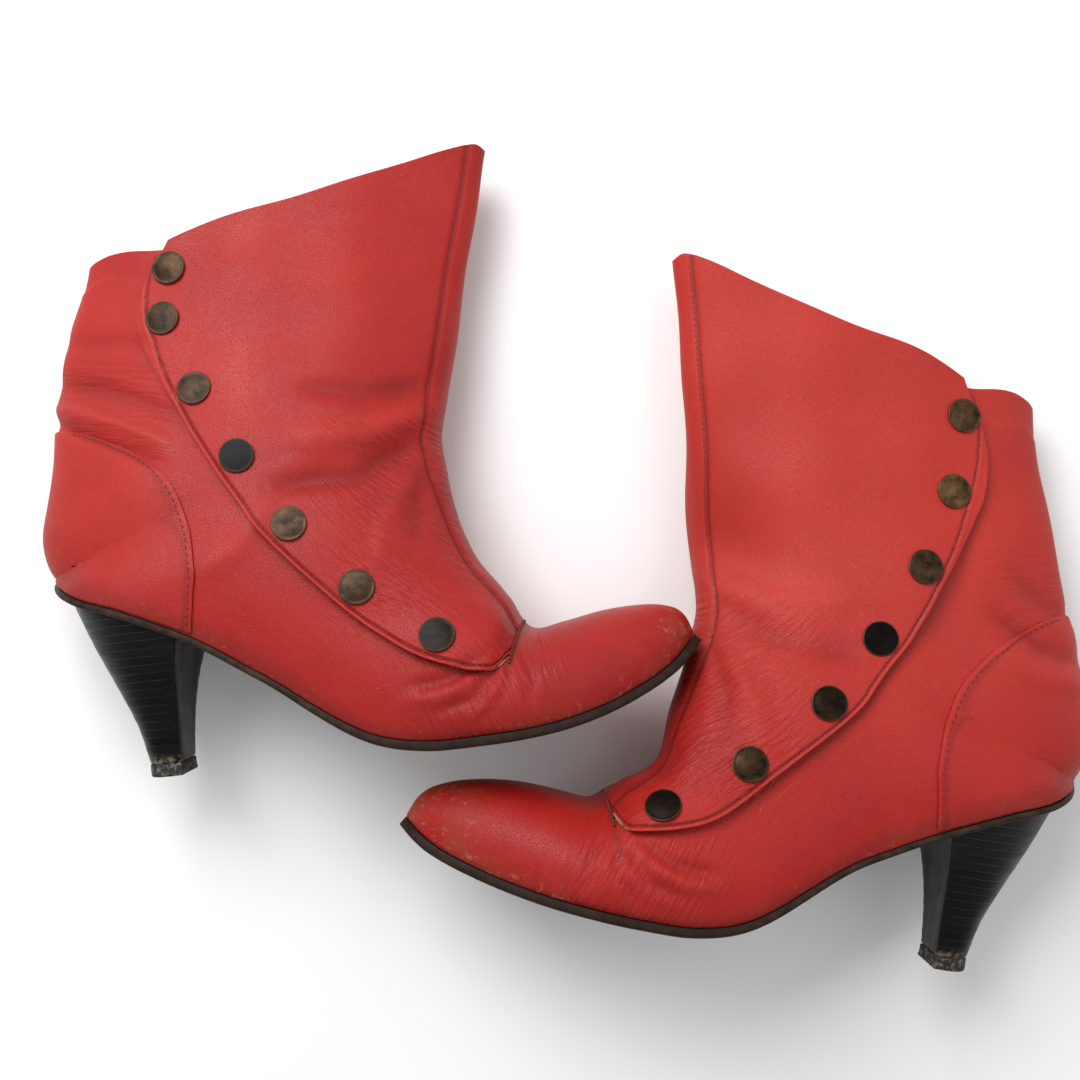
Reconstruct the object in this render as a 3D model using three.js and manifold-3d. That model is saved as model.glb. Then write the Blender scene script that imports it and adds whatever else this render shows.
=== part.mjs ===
// A pair of high-heeled leather button boots, lying on their inner sides, head to tail.
// Millimetres, +Z up from the surface that the pair lies on, origin under the middle of the pair.
//
// Each boot is drawn in its own frame: x from heel to toe, y up the leg from the ground that the boot would
// stand on, z towards the outer side, which faces up here. Station lines run across the boot from its bottom
// or back line to its top or front line, and fan round the heel. A place on the leather is (t, a): t counts
// stations from the toe tip to the top of the shaft, and a runs round the boot, from 1 on the outer bottom
// edge or back line, through 0 on the front ridge, to -1 on the inner bottom edge or back line.
import * as THREE from "three";
import { mergeVertices } from "three/addons/utils/BufferGeometryUtils.js";
import Module from "manifold-3d";

const wasm = await Module();
wasm.setup();

// ---- driving sizes ----
const footLength = 250; // toe tip to the back of the heel counter
const ballWidth = 83.5; // widest place of the leather, across the ball of the foot
const heelHeight = 73.5; // ground to the back of the heel seat
const shaftHeight = 128; // ankle crease to the front peak, before the leather slumps
const upperLeather = 1.8; // outer leather with its lining
const flapLeather = 1.6;
const counterLeather = 1.2;
const stiffenerThick = 1.0;
const soleThick = 3.6;
const soleMargin = 1.0; // how far the sole stands out past the leather
const insoleThick = 2.4;
const shankThick = 1;
const shankWidth = 12;
const sockThick = 0.8;
const topLiftThick = 5;
const breastThick = 0.9;
const fit = 0.35; // clearance between neighbouring pieces
const coverGap = 1.25; // clearance between the curved quarters and the counter
const drawn = { length: 250, width: 83.5, heel: 73.5, shaft: 128, ankle: 118, leather: 1.8 }; // stations' sizes
// Clearance between the leather's bottom edge and the sole, wider where thick leather or a long foot turns up.
const seatGap = 0.5 * (upperLeather / drawn.leather) * (footLength / drawn.length);
const capRadius = 6.8;
const snapInset = 8.8; // from the flap's edge to a snap's middle
const underlap = 16; // how far the outer quarter reaches under the flap
const lieTilt = THREE.MathUtils.degToRad(4.2); // heel counter and ball both touch the surface
const roundSides = 10; // of a snap cap or a screw
const smallSides = 8; // of a stud or a hole

// ---- station lines: bottom or back point, top or front point, and the section between them ----
// outer and inner are the greatest half widths, base is how much of the section's closed oval the sole cuts
// off, square is its squareness, and backZ and frontZ say how far the soft leather sinks at its two ends.
const columns = ["bx", "by", "fx", "fy", "outer", "inner", "base", "square", "backZ", "frontZ"];
const stations = [
  [210.5, 24, 210.5, 25, 0, 0, 0.3, 0.5, 0, 0],
  [206, 20, 208, 32, 9, 9, 0.3, 0.5, 0, 0],
  [200, 16, 203, 36.5, 15, 15.5, 0.32, 0.48, 0, 0],
  [190, 12, 193, 39.5, 22, 23, 0.34, 0.46, 0, 0],
  [176, 8, 178, 40.5, 29, 30, 0.34, 0.45, 0, 0],
  [160, 5.3, 162, 39, 35.5, 36, 0.33, 0.45, 0, 0],
  [143, 4.2, 150, 38, 40, 40.5, 0.32, 0.45, 0, 0],
  [126, 4, 144, 44, 41.5, 42, 0.31, 0.46, 0, -1],
  [108, 4.5, 137.5, 54, 41, 41, 0.3, 0.47, 0, -2],
  [88, 8.5, 130, 66, 38.5, 37, 0.29, 0.48, 0, -3],
  [68, 18.5, 126, 79, 36, 33.5, 0.27, 0.5, 0, -5],
  [48, 33.5, 124, 92, 34, 31.5, 0.27, 0.5, 0, -7],
  [25, 52, 122.5, 105, 33, 31.5, 0.28, 0.48, 0, -10],
  [0, 65.5, 121.5, 116, 33, 32.5, 0.27, 0.46, 0, -14],
  [-20, 73.5, 123, 124, 32, 32, 0.17, 0.46, 0, -17],
  [-33, 82, 125.5, 132, 30.5, 30.5, 0, 0.46, 0, -19],
  [-37, 96, 128.5, 143, 29, 29, 0, 0.48, -1, -21],
  [-34, 112, 132, 156, 26, 26, 0, 0.5, -3, -22],
  [-28, 131, 136, 172, 22.5, 23, 0, 0.5, -6, -23],
  [-22, 153, 141, 190, 19.5, 20, 0, 0.5, -10, -24],
  [-14, 178, 147, 210, 17.5, 18, 0, 0.5, -14, -24.5],
  [-7, 200, 153, 230, 16, 16.5, 0, 0.5, -17, -25],
  [-4, 217, 158, 246, 15, 15, 0, 0.5, -20, -25],
];
const toeTip = 0;
const throat = 6.5; // where the vamp ends
const backCorner = 15; // where the bottom edge has run round to the back line
const shaftTop = stations.length - 1;

// The outer shape of each boot: how its soft shaft leans and sags backwards, how its toe has curled and spread
// forwards, how far its arch has risen, how far its instep has sunk behind the throat, and how far its front is
// pressed down at the ankle, where the other boot's toe lies on it.
// flapTurn is how far its flap has crept over the foot, and snapsAt where its snaps sit along the flap's edge,
// from the top corner down.
const rightBoot = {
  name: "right",
  stretch: 0.9,
  leanBack: -0.07,
  leanFront: -0.02,
  sag: 6,
  toeLift: 4,
  toeSpread: 0,
  archRise: 4,
  instepSunk: 0,
  pressed: 0,
  flapTurn: -1,
  snapsAt: [5, 33, 67, 102, 138, 174, 213],
};
const leftBoot = {
  name: "left",
  stretch: 1.086,
  leanBack: 0.07,
  leanFront: 0.007,
  sag: 0,
  toeLift: -6,
  toeSpread: 8,
  archRise: 8,
  instepSunk: 8,
  pressed: 9,
  flapTurn: 1,
  snapsAt: [9, 45, 80, 115, 151, 188, 229],
};

// Edges on the outer side, as shares of a station line from its back end, at places along t.
const flapEdgeDrawn = curveThrough([
  [6.7, 0.66], [7.6, 0.585], [9, 0.522], [10, 0.495], [11, 0.471], [12, 0.453], [13, 0.474], [14, 0.505],
  [15, 0.508], [16.2, 0.464], [17.3, 0.401], [18.4, 0.329], [19.4, 0.266], [20, 0.225], [20.8, 0.198],
  [21.3, 0.205], [22, 0.24],
]);
const flapCreep = curveThrough([
  [6.7, 0.09], [7.7, 0.073], [9.35, 0.044], [10.9, 0.046], [13, 0.03], [15, 0.025], [18, 0.017], [19.6, 0.006],
  [22, 0],
]);
const flapFold = curveThrough([[6.7, 0.93], [7.5, 0.945], [8.6, 0.955], [22, 0.955]]);
const counterEdge = curveThrough([
  [12.05, 0.005], [12.5, 0.13], [13, 0.235], [14, 0.335], [15.1, 0.37], [16.1, 0.345], [17.1, 0.262],
  [18, 0.13], [18.6, 0.01],
]);
// How far below the last station the top edges dip, in stations, by the share of the station line.
const quarterTop = curveThrough([[0, 0.2], [0.05, 0], [0.2, 0.5], [0.35, 0.85], [1, 1.2]]);
const flapTop = curveThrough([[0.15, 0.8], [0.2, 0.58], [0.3, 0.44], [0.55, 0.3], [0.8, 0.14], [0.92, 0], [1, 0.3]]);

// ---- curves ----
// A smooth function through [x, y] points, held level outside them.
function curveThrough(points) {
  const slope = points.map((p, i) => {
    const before = points[Math.max(i - 1, 0)];
    const after = points[Math.min(i + 1, points.length - 1)];
    return (after[1] - before[1]) / (after[0] - before[0]);
  });
  return (x) => {
    if (x <= points[0][0]) return points[0][1];
    const i = points.findIndex((p) => p[0] > x) - 1;
    if (i < 0) return points.at(-1)[1];
    const step = points[i + 1][0] - points[i][0];
    const f = (x - points[i][0]) / step;
    const start = points[i][1] * (1 + 2 * f) * (1 - f) ** 2 + slope[i] * step * f * (1 - f) ** 2;
    return start + points[i + 1][1] * f * f * (3 - 2 * f) + slope[i + 1] * step * f * f * (f - 1);
  };
}

// Catmull-Rom interpolation of one column of the stations.
function along(t, column) {
  const last = stations.length - 1;
  const i = THREE.MathUtils.clamp(Math.floor(t), 0, last - 1);
  const f = t - i;
  const k = columns.indexOf(column);
  const [p0, p1, p2, p3] = [i - 1, i, i + 1, i + 2].map((j) => stations[THREE.MathUtils.clamp(j, 0, last)][k]);
  const bend = (2 * p0 - 5 * p1 + 4 * p2 - p3) * f * f + (3 * p1 - p0 - 3 * p2 + p3) * f ** 3;
  return 0.5 * (2 * p1 + (p2 - p0) * f + bend);
}

const smooth = (x, from, to) => THREE.MathUtils.smoothstep(x, from, to);
const mix = THREE.MathUtils.lerp;

// ---- the leather's outer surface ----
class Skin {
  constructor(boot) {
    this.boot = boot;
  }

  // Where a drawn point of the side view goes once the sizes and the slump are applied. share is its place
  // along the station line, from the back.
  placed(x, y, share) {
    const { stretch, leanBack, leanFront, sag, toeLift, toeSpread, archRise } = this.boot;
    const rise = (heelHeight - drawn.heel) * (1 - smooth(x, -30, 100));
    const shaft = Math.max(y - drawn.ankle, 0);
    const forward = Math.max((x - 140) / 70, 0) ** 2;
    const low = (1 - share) ** 2;
    const arch = archRise * Math.exp(-(((x - 57) / 25) ** 2)) * low;
    const grown = Math.min(y, drawn.ankle) + (shaft * stretch * shaftHeight) / drawn.shaft;
    const lean = mix(leanBack, leanFront, share) * shaft - sag * Math.exp(-(((y - 175) / 34) ** 2)) * low;
    return [(x * footLength) / drawn.length + lean + toeSpread * forward, grown + rise + toeLift * forward + arch];
  }

  // The widest angle that a section reaches round from the front ridge, on its oval.
  reach(t) {
    return Math.acos(2 * Math.max(along(t, "base"), 0) - 1);
  }

  // a for a share of the station line on the outer side, and the share for an a.
  aOf(t, share) {
    const base = Math.max(along(t, "base"), 0);
    return Math.acos(THREE.MathUtils.clamp(2 * (base + (1 - base) * share) - 1, -1, 1)) / this.reach(t);
  }

  shareOf(t, a) {
    const base = Math.max(along(t, "base"), 0);
    return ((1 + Math.cos(Math.abs(a) * this.reach(t))) / 2 - base) / (1 - base);
  }

  // The flap's edge, as a share of the station line.
  flapEdge(t) {
    return flapEdgeDrawn(t) + this.boot.flapTurn * flapCreep(t);
  }

  // Length of the station line at t.
  span(t) {
    return Math.hypot(along(t, "fx") - along(t, "bx"), along(t, "fy") - along(t, "by"));
  }

  at(t, a) {
    const share = this.shareOf(t, a);
    const [x, y] = this.placed(
      mix(along(t, "bx"), along(t, "fx"), share),
      mix(along(t, "by"), along(t, "fy"), share),
      share,
    );
    const instep = this.boot.instepSunk * Math.exp(-(((t - 8.4) / 1.05) ** 2)) * share ** 5;
    const around = Math.sin(a * this.reach(t));
    const half = along(t, around >= 0 ? "outer" : "inner") * (ballWidth / drawn.width);
    const round = Math.sign(around) * Math.abs(around) ** (2 * along(t, "square"));
    const sunk = this.boot.pressed * Math.exp(-(((t - 16.2) / 1.6) ** 2)) * share ** 2;
    return new THREE.Vector3(x - 0.88 * instep, y - 0.47 * instep, mix(along(t, "backZ"), along(t, "frontZ"), share) - sunk + half * round);
  }

  normal(t, a) {
    const step = 0.02;
    const place = THREE.MathUtils.clamp(t, step * 2, shaftTop - step);
    const dt = this.at(place + step, a).sub(this.at(place - step, a));
    const da = this.at(place, a + step).sub(this.at(place, a - step));
    const out = dt.cross(da).normalize();
    // The toe closes to a point, where every normal turns to face forward.
    const toeShare = THREE.MathUtils.clamp(along(t, "outer") / 6, 0, 1);
    return out.lerp(new THREE.Vector3(1, 0, 0), 1 - toeShare).normalize();
  }

  // A place on the leather, moved out along its normal.
  point(t, a, out = 0) {
    return this.at(t, a).addScaledVector(this.normal(t, a), out);
  }

  // Half width of the bottom edge: side is 1 for the outer edge and -1 for the inner one.
  edgeHalf(t, side) {
    return Math.abs(this.at(t, side).z - along(t, "backZ"));
  }
}

// ---- solids ----
// Closes a list of corners and quads into one geometry facing out.
function closedGeometry(corners, quads) {
  const shape = new THREE.BufferGeometry();
  shape.setAttribute("position", new THREE.BufferAttribute(new Float32Array(corners.flatMap((p) => p.toArray())), 3));
  shape.setIndex(quads.flatMap(([a, b, c, d]) => [a, b, c, a, c, d]));
  const merged = mergeVertices(shape, 1e-3);
  const index = merged.index.array;
  const kept = [];
  for (let i = 0; i < index.length; i += 3) {
    const [a, b, c] = index.slice(i, i + 3);
    if (a !== b && b !== c && c !== a) kept.push(a, b, c);
  }
  const place = merged.getAttribute("position");
  const [p, q, r] = [new THREE.Vector3(), new THREE.Vector3(), new THREE.Vector3()];
  let volume = 0;
  for (let i = 0; i < kept.length; i += 3) {
    p.fromBufferAttribute(place, kept[i]);
    q.fromBufferAttribute(place, kept[i + 1]);
    r.fromBufferAttribute(place, kept[i + 2]);
    volume += p.dot(q.cross(r));
  }
  merged.setIndex(volume < 0 ? kept.reverse() : kept);
  return merged;
}

// A sheet with thickness: face 0 is the outer face and face 1 the inner one, over r and c from 0 to 1.
function sheet(rows, cols, point) {
  const corners = [];
  const id = (r, c, face) => (face * (rows + 1) + r) * (cols + 1) + c;
  for (const face of [0, 1])
    for (let r = 0; r <= rows; r++)
      for (let c = 0; c <= cols; c++) corners.push(point(r / rows, c / cols, face));
  const quads = [];
  for (let r = 0; r < rows; r++)
    for (let c = 0; c < cols; c++)
      quads.push(
        [id(r, c, 0), id(r + 1, c, 0), id(r + 1, c + 1, 0), id(r, c + 1, 0)],
        [id(r, c, 1), id(r, c + 1, 1), id(r + 1, c + 1, 1), id(r + 1, c, 1)],
      );
  for (let r = 0; r < rows; r++)
    quads.push(
      [id(r, 0, 0), id(r, 0, 1), id(r + 1, 0, 1), id(r + 1, 0, 0)],
      [id(r, cols, 0), id(r + 1, cols, 0), id(r + 1, cols, 1), id(r, cols, 1)],
    );
  for (let c = 0; c < cols; c++)
    quads.push(
      [id(0, c, 0), id(0, c + 1, 0), id(0, c + 1, 1), id(0, c, 1)],
      [id(rows, c, 0), id(rows, c, 1), id(rows, c + 1, 1), id(rows, c + 1, 0)],
    );
  return closedGeometry(corners, quads);
}

// A solid through closed loops of corners, each capped from its own middle at the two ends.
function stack(loops) {
  const n = loops[0].length;
  const corners = loops.flat();
  const quads = [];
  for (let i = 0; i < loops.length - 1; i++)
    for (let j = 0; j < n; j++) {
      const next = (j + 1) % n;
      quads.push([i * n + j, i * n + next, (i + 1) * n + next, (i + 1) * n + j]);
    }
  for (const [i, turn] of [[0, true], [loops.length - 1, false]]) {
    const middle = corners.push(loops[i].reduce((s, p) => s.clone().add(p)).divideScalar(n)) - 1;
    for (let j = 0; j < n; j++) {
      const [from, to] = turn ? [(j + 1) % n, j] : [j, (j + 1) % n];
      quads.push([i * n + from, i * n + to, middle, middle]);
    }
  }
  return closedGeometry(corners, quads);
}

function solidOf(geometry) {
  const bare = new THREE.BufferGeometry().setAttribute("position", geometry.getAttribute("position").clone());
  if (geometry.index) bare.setIndex(geometry.index.clone());
  const merged = mergeVertices(bare, 1e-3);
  return new wasm.Manifold(
    new wasm.Mesh({
      numProp: 3,
      vertProperties: merged.getAttribute("position").array,
      triVerts: new Uint32Array(merged.index.array),
    }),
  );
}

function geometryOf(solid) {
  const { vertProperties, triVerts } = solid.getMesh();
  return new THREE.BufferGeometry()
    .setAttribute("position", new THREE.BufferAttribute(vertProperties, 3))
    .setIndex(new THREE.BufferAttribute(triVerts, 1));
}

const cut = (geometry, ...tools) => geometryOf(tools.reduce((s, g) => s.subtract(solidOf(g)), solidOf(geometry)));
const join = (one, other) => geometryOf(solidOf(one).add(solidOf(other)));

// A turned piece: profile is [radius, height] points from axis to axis, bottom first. It stands along
// direction, with height 0 at place.
function turned(profile, place, direction, sides = roundSides) {
  const lathe = new THREE.LatheGeometry(
    profile.map(([r, y]) => new THREE.Vector2(r, y)),
    sides,
  );
  const turn = new THREE.Quaternion().setFromUnitVectors(new THREE.Vector3(0, 1, 0), direction);
  return lathe.applyQuaternion(turn).translate(place.x, place.y, place.z);
}

function pin(radius, from, to, place, direction) {
  const grown = radius / Math.cos(Math.PI / smallSides); // its flat sides stay the radius away
  return turned([[0, from], [grown, from], [grown, to], [0, to]], place, direction, smallSides);
}

// ---- leather panels ----
// Rows of the upper panels, closest where the bottom edge turns up into the back line.
const panelRows = [
  7.3, 8.1, 9, 9.8, 10.6, 11.4, 12.1, 12.8, 13.4, 14, 14.45, 14.75, 15, 15.35, 15.8, 16.4, 17.1, 17.8, 18.6,
  19.4, 20.2, 21.1, shaftTop,
];

// A panel over t from start to the top edge, and over a between two edges.
function panel(skin, { start, dip, cols, from, to, out, thick }) {
  const rows = [start, ...panelRows.filter((t) => t > start)];
  return sheet(rows.length - 1, cols, (r, c, face) => {
    const plain = rows[Math.round(r * (rows.length - 1))];
    const a = mix(from(plain), to(plain), c);
    const top = shaftTop - dip(skin.shareOf(shaftTop, a));
    const t = plain - (shaftTop - top) * smooth(plain, 17, shaftTop);
    return skin.point(t, a, out(t, a) - face * thick);
  });
}

const vamp = (skin) =>
  sheet(13, 16, (r, c, face) => {
    const t = mix(toeTip, throat, r);
    return skin.point(t, mix(-1, 1, c), -face * upperLeather);
  });

const toePuff = (skin) =>
  sheet(5, 8, (r, c, face) => {
    const t = mix(1.4, 4, r);
    return skin.point(t, mix(-0.72, 0.72, c), -upperLeather - fit - face * stiffenerThick);
  });

// How far the outer quarter reaches forward, as a share of the station line.
function underlapShare(skin, t) {
  const edge = skin.flapEdge(t);
  return Math.min(edge + underlap / skin.span(t), edge + 0.6 * (flapFold(t) - edge));
}

const halfSeam = (t) => 1 - 0.004 * smooth(t, backCorner - 1, backCorner); // leaves the back seam's gap
const seamStart = throat + 0.05;

const outerQuarter = (skin) =>
  panel(skin, {
    start: seamStart,
    dip: quarterTop,
    cols: 7,
    from: halfSeam,
    to: (t) => skin.aOf(t, underlapShare(skin, t)),
    out: () => 0,
    thick: upperLeather,
  });

const innerQuarter = (skin) =>
  panel(skin, {
    start: seamStart,
    dip: quarterTop,
    cols: 7,
    from: (t) => -halfSeam(t),
    to: () => -innerSeam,
    out: () => 0,
    thick: upperLeather,
  });

const innerSeam = 0.36; // where the front panel meets the inner quarter, as an a
const seamGap = 0.012; // the same clearance, as a step of a

const frontPanel = (skin) =>
  panel(skin, {
    start: seamStart,
    dip: flapTop,
    cols: 7,
    from: () => -innerSeam + seamGap,
    to: (t) => skin.aOf(t, flapFold(t)) - seamGap,
    out: () => 0,
    thick: upperLeather,
  });

// The flap rides over the snaps at its edge and comes down to the front panel at its fold.
const snapSocket = 1.4;
const snapFlange = 0.4;
const flapLift = flapLeather + snapSocket + snapFlange + 3.4 * fit;

function flapOut(skin, t, a) {
  const free = skin.aOf(t, Math.min(underlapShare(skin, t) + 0.04, flapFold(t)));
  const fold = skin.aOf(t, flapFold(t));
  const atFold = mix(0.85, 0, smooth(t, 8.2, 11.5));
  return flapLift * mix(atFold, 1, smooth(a, fold, free));
}

const flapStart = 7.1; // high enough for the flap to swing open clear of the vamp
const flapPanel = (skin) =>
  panel(skin, {
    start: flapStart,
    dip: flapTop,
    cols: 7,
    from: (t) => skin.aOf(t, flapFold(t)),
    to: (t) => skin.aOf(t, skin.flapEdge(t)),
    out: (t, a) => flapOut(skin, t, a),
    thick: flapLeather,
  });

// A sheet round the heel. Its slices run from one counter edge, round the back line, to the other: the lowest
// follows the bottom edge and the highest ends where the two edges meet on the back line.
function roundHeel(skin, { start, end, backStart, rows, cols, reach, out, thick }) {
  return sheet(rows, cols, (r, c, face) => {
    const across = 2 * c - 1;
    const back = 1 - Math.abs(across);
    const front = mix(start, end, r);
    const t = mix(front, mix(backStart, end, r), back);
    const edge = skin.aOf(front, reach * counterEdge(front));
    return skin.point(t, (Math.sign(across) || 1) * mix(edge, 1, back), out - face * thick);
  });
}

const counterCover = (skin) =>
  roundHeel(skin, {
    start: 12.15,
    end: 18.4,
    backStart: backCorner + 0.1,
    rows: 10,
    cols: 18,
    reach: 1,
    out: coverGap + counterLeather,
    thick: counterLeather,
  });

const counterStiffener = (skin) =>
  roundHeel(skin, {
    start: 13,
    end: 17.2,
    backStart: backCorner + 0.7,
    rows: 7,
    cols: 14,
    reach: 0.8,
    out: -upperLeather - 1.8,
    thick: stiffenerThick,
  });

// ---- the bottom of the boot ----
// Along, down and across at a place on the bottom line.
function bottomFrame(skin, t) {
  const place = (u) => {
    const p = skin.placed(along(u, "bx"), along(u, "by"), 0);
    return new THREE.Vector3(p[0], p[1], 0);
  };
  const step = 0.05;
  const forward = place(t - step).sub(place(t + step)).normalize();
  return { middle: place(t), down: new THREE.Vector3(forward.y, -forward.x, 0) };
}

// A plate that follows the bottom line: top and bottom are depths below the leather's bottom edge, and
// half(t, side) its half width.
function bottomPlate(skin, { ts, top, bottom, half, edge = 0.4 }) {
  return stack(
    ts.map((t) => {
      const { middle, down } = bottomFrame(skin, t);
      const [o, i] = [half(t, 1), half(t, -1)];
      const corner = (depth, z) => middle.clone().addScaledVector(down, depth).setZ(z);
      return [
        corner(top, o),
        corner(mix(top, bottom, 0.75), o),
        corner(bottom, Math.max(o - edge, o * 0.8)),
        corner(bottom, -Math.max(i - edge, i * 0.8)),
        corner(mix(top, bottom, 0.75), -i),
        corner(top, -i),
      ];
    }),
  );
}

const steps = (from, to, n) => Array.from({ length: n + 1 }, (_, i) => mix(from, to, i / n));

const soleHalf = (skin) => (t, side) => skin.edgeHalf(t, side) + soleMargin;
const insideHalf = (skin, inset) => (t, side) =>
  Math.max(Math.min(skin.edgeHalf(t, side), skin.edgeHalf(t + 0.45, side)) - inset, 1);

const soleOf = (skin) =>
  bottomPlate(skin, {
    ts: steps(0, backCorner - 0.05, 30),
    top: seatGap,
    bottom: seatGap + soleThick,
    half: soleHalf(skin),
    edge: 0.8,
  });

const insoleRise = 2; // the leather's lasting edge is tucked under the insole here
const insoleOf = (skin) =>
  bottomPlate(skin, {
    ts: steps(1.1, backCorner - 0.55, 20),
    top: -insoleRise - insoleThick,
    bottom: -insoleRise,
    half: insideHalf(skin, upperLeather + 1),
  });

const shankOf = (skin) =>
  bottomPlate(skin, {
    ts: steps(8.5, 13, 9),
    top: -fit - shankThick,
    bottom: -fit,
    half: () => shankWidth / 2,
  });

const screwHead = 1.2;
const sockOf = (skin) => {
  const under = -insoleRise - insoleThick - screwHead - 2 * fit;
  return bottomPlate(skin, {
    ts: steps(9, backCorner - 1, 9),
    top: under - sockThick,
    bottom: under,
    half: insideHalf(skin, upperLeather + stiffenerThick + 4),
  });
};

// ---- the heel ----
// Side view of the heel from its seat (0) to its foot (1), and its half width.
const heelBackX = curveThrough([[0, -29.5], [0.25, -23.4], [0.5, -16.4], [0.75, -10.4], [1, -7.4]]);
const heelFrontX = curveThrough([[0, 16.5], [0.25, 12.8], [0.5, 10.4], [0.75, 8.7], [1, 7.4]]);
const heelHalfZ = curveThrough([[0, 27.5], [0.25, 20.5], [0.5, 15], [0.75, 11.6], [1, 9.8]]);
const breastHollow = 2.2; // how far the middle of the breast is hollowed at the seat

// Height of the heel seat, just under the sole, at x.
function seatY(skin, x) {
  const under = (t) => {
    const { middle, down } = bottomFrame(skin, t);
    return middle.addScaledVector(down, seatGap + soleThick + fit + 0.2);
  };
  let [front, back] = [9, backCorner - 0.05];
  for (let i = 0; i < 24; i++) {
    const t = (front + back) / 2;
    if (under(t).x > x) front = t;
    else back = t;
  }
  return under(back).y;
}

// A D-shaped loop round the heel at a level from seat to foot.
function heelLoop(skin, level, inset = 0) {
  const k = footLength / drawn.length;
  const [back, front] = [heelBackX(level) * k + inset, heelFrontX(level) * k - inset];
  const half = heelHalfZ(level) * (ballWidth / drawn.width) - inset;
  const foot = topLiftThick + fit;
  const outline = [];
  const sides = 14;
  for (let i = 0; i <= sides; i++) {
    const angle = Math.PI * (i / sides - 0.5);
    outline.push([mix(front, back, Math.cos(angle) ** 0.8), half * Math.sin(angle)]);
  }
  outline.push([front - breastHollow * (1 - level), half * 0.45]);
  outline.push([front - breastHollow * (1 - level), -half * 0.45]);
  return outline.map(([x, z]) => new THREE.Vector3(x, mix(seatY(skin, x), foot, level), z));
}

const heelLevels = steps(0, 1, 8);
const heelOf = (skin) => stack(heelLevels.map((level) => heelLoop(skin, level)));

// The smooth cover on the heel's breast.
const breastOf = (skin) =>
  sheet(10, 4, (r, c, face) => {
    const level = mix(0.04, 0.99, r);
    const [front, half] = [heelFrontX(level) * (footLength / drawn.length), heelHalfZ(level) * 0.96];
    const across = mix(-1, 1, c);
    const hollow = breastHollow * (1 - level) * (1 - smooth(Math.abs(across), 0.42, 1));
    const x = front - hollow + fit + (1 - face) * breastThick;
    const y = mix(seatY(skin, front), topLiftThick + fit, level);
    return new THREE.Vector3(x, y, (across * half * ballWidth) / drawn.width);
  });

const topLiftOf = (skin) => {
  const top = heelLoop(skin, 1, -0.1);
  const level = (y, grow) => top.map((p) => new THREE.Vector3(p.x * grow, y, p.z * grow));
  return stack([level(topLiftThick, 1), level(0.8, 1.02), level(0, 0.96)]);
};

const screwAt = 13.3; // where the heel screw goes in, under the back of the foot
const screwLength = 26;
const screwRadius = 2.2;

// ---- snaps ----
// The flap's edge as places and lengths, from its top corner down.
function edgeWalk(skin) {
  const places = [];
  let length = 0;
  let before = null;
  for (let t = 21.4; t > 7; t -= 0.05) {
    const here = skin.at(t, skin.aOf(t, skin.flapEdge(t)));
    if (before) length += here.distanceTo(before);
    places.push({ t, length, here });
    before = here;
  }
  return places;
}

// Place, normal and leather place of each snap: inset from the flap's edge, square to it.
function snapSeats(skin) {
  const walk = edgeWalk(skin);
  return skin.boot.snapsAt.map((length) => {
    const k = walk.findIndex((p) => p.length >= (length * shaftHeight) / drawn.shaft);
    const { t, here } = walk[k];
    const a = skin.aOf(t, skin.flapEdge(t));
    const run = walk[k + 1].here.clone().sub(walk[k - 1].here).normalize();
    const inward = skin.normal(t, a).cross(run).normalize();
    return nearestSeat(skin, here.clone().addScaledVector(inward, snapInset), t, a);
  });
}

// The place on the leather over a goal point, found by stepping along the surface.
function nearestSeat(skin, goal, t, a) {
  for (let i = 0; i < 12; i++) {
    const here = skin.at(t, a);
    const miss = goal.clone().sub(here);
    const dt = skin.at(t + 0.01, a).sub(here).divideScalar(0.01);
    const da = skin.at(t, a + 0.01).sub(here).divideScalar(0.01);
    const [tt, ta, aa] = [dt.dot(dt), dt.dot(da), da.dot(da)];
    const [mt, ma] = [miss.dot(dt), miss.dot(da)];
    const det = tt * aa - ta * ta;
    t += (mt * aa - ma * ta) / det;
    a += (ma * tt - mt * ta) / det;
  }
  return { place: skin.at(t, a), normal: skin.normal(t, a), lift: flapOut(skin, t, a) };
}

const postRadius = 1.5;
const capGap = 0.5; // the leather curves under the wide flanges
const capProfile = () => {
  const under = -flapLeather - capGap;
  const foot = under - snapSocket;
  return [
    [0, foot + 1.1], [2.4, foot + 1.1], [2.4, foot], [4, foot], [4, under], [postRadius, under],
    [postRadius, capGap], [capRadius, capGap], [capRadius, capGap + 0.7], [capRadius * 0.86, capGap + 1.3],
    [0, capGap + 1.9],
  ];
};
const studProfile = () => {
  const under = -upperLeather - capGap;
  return [
    [0, under - 0.6], [3.5, under - 0.6], [3.5, under], [postRadius, under], [postRadius, capGap],
    [3.4, capGap], [3.4, capGap + snapFlange], [1.8, capGap + snapFlange], [1.5, 1.8], [0, 1.8],
  ];
};

// ---- the boot ----
const leatherRed = new THREE.MeshStandardMaterial({ color: 0xbf3a34, roughness: 0.5, metalness: 0 });
const heelBlack = new THREE.MeshStandardMaterial({ color: 0x151416, roughness: 0.4, metalness: 0 });
const soleBrown = new THREE.MeshStandardMaterial({ color: 0x352521, roughness: 0.6, metalness: 0 });
const brass = new THREE.MeshStandardMaterial({ color: 0x5b4024, roughness: 0.35, metalness: 0.8 });
const steel = new THREE.MeshStandardMaterial({ color: 0x8c8d90, roughness: 0.4, metalness: 1 });
const board = new THREE.MeshStandardMaterial({ color: 0x9a7c5a, roughness: 0.9, metalness: 0 });
const rubber = new THREE.MeshStandardMaterial({ color: 0x1b1a1a, roughness: 0.8, metalness: 0 });

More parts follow.
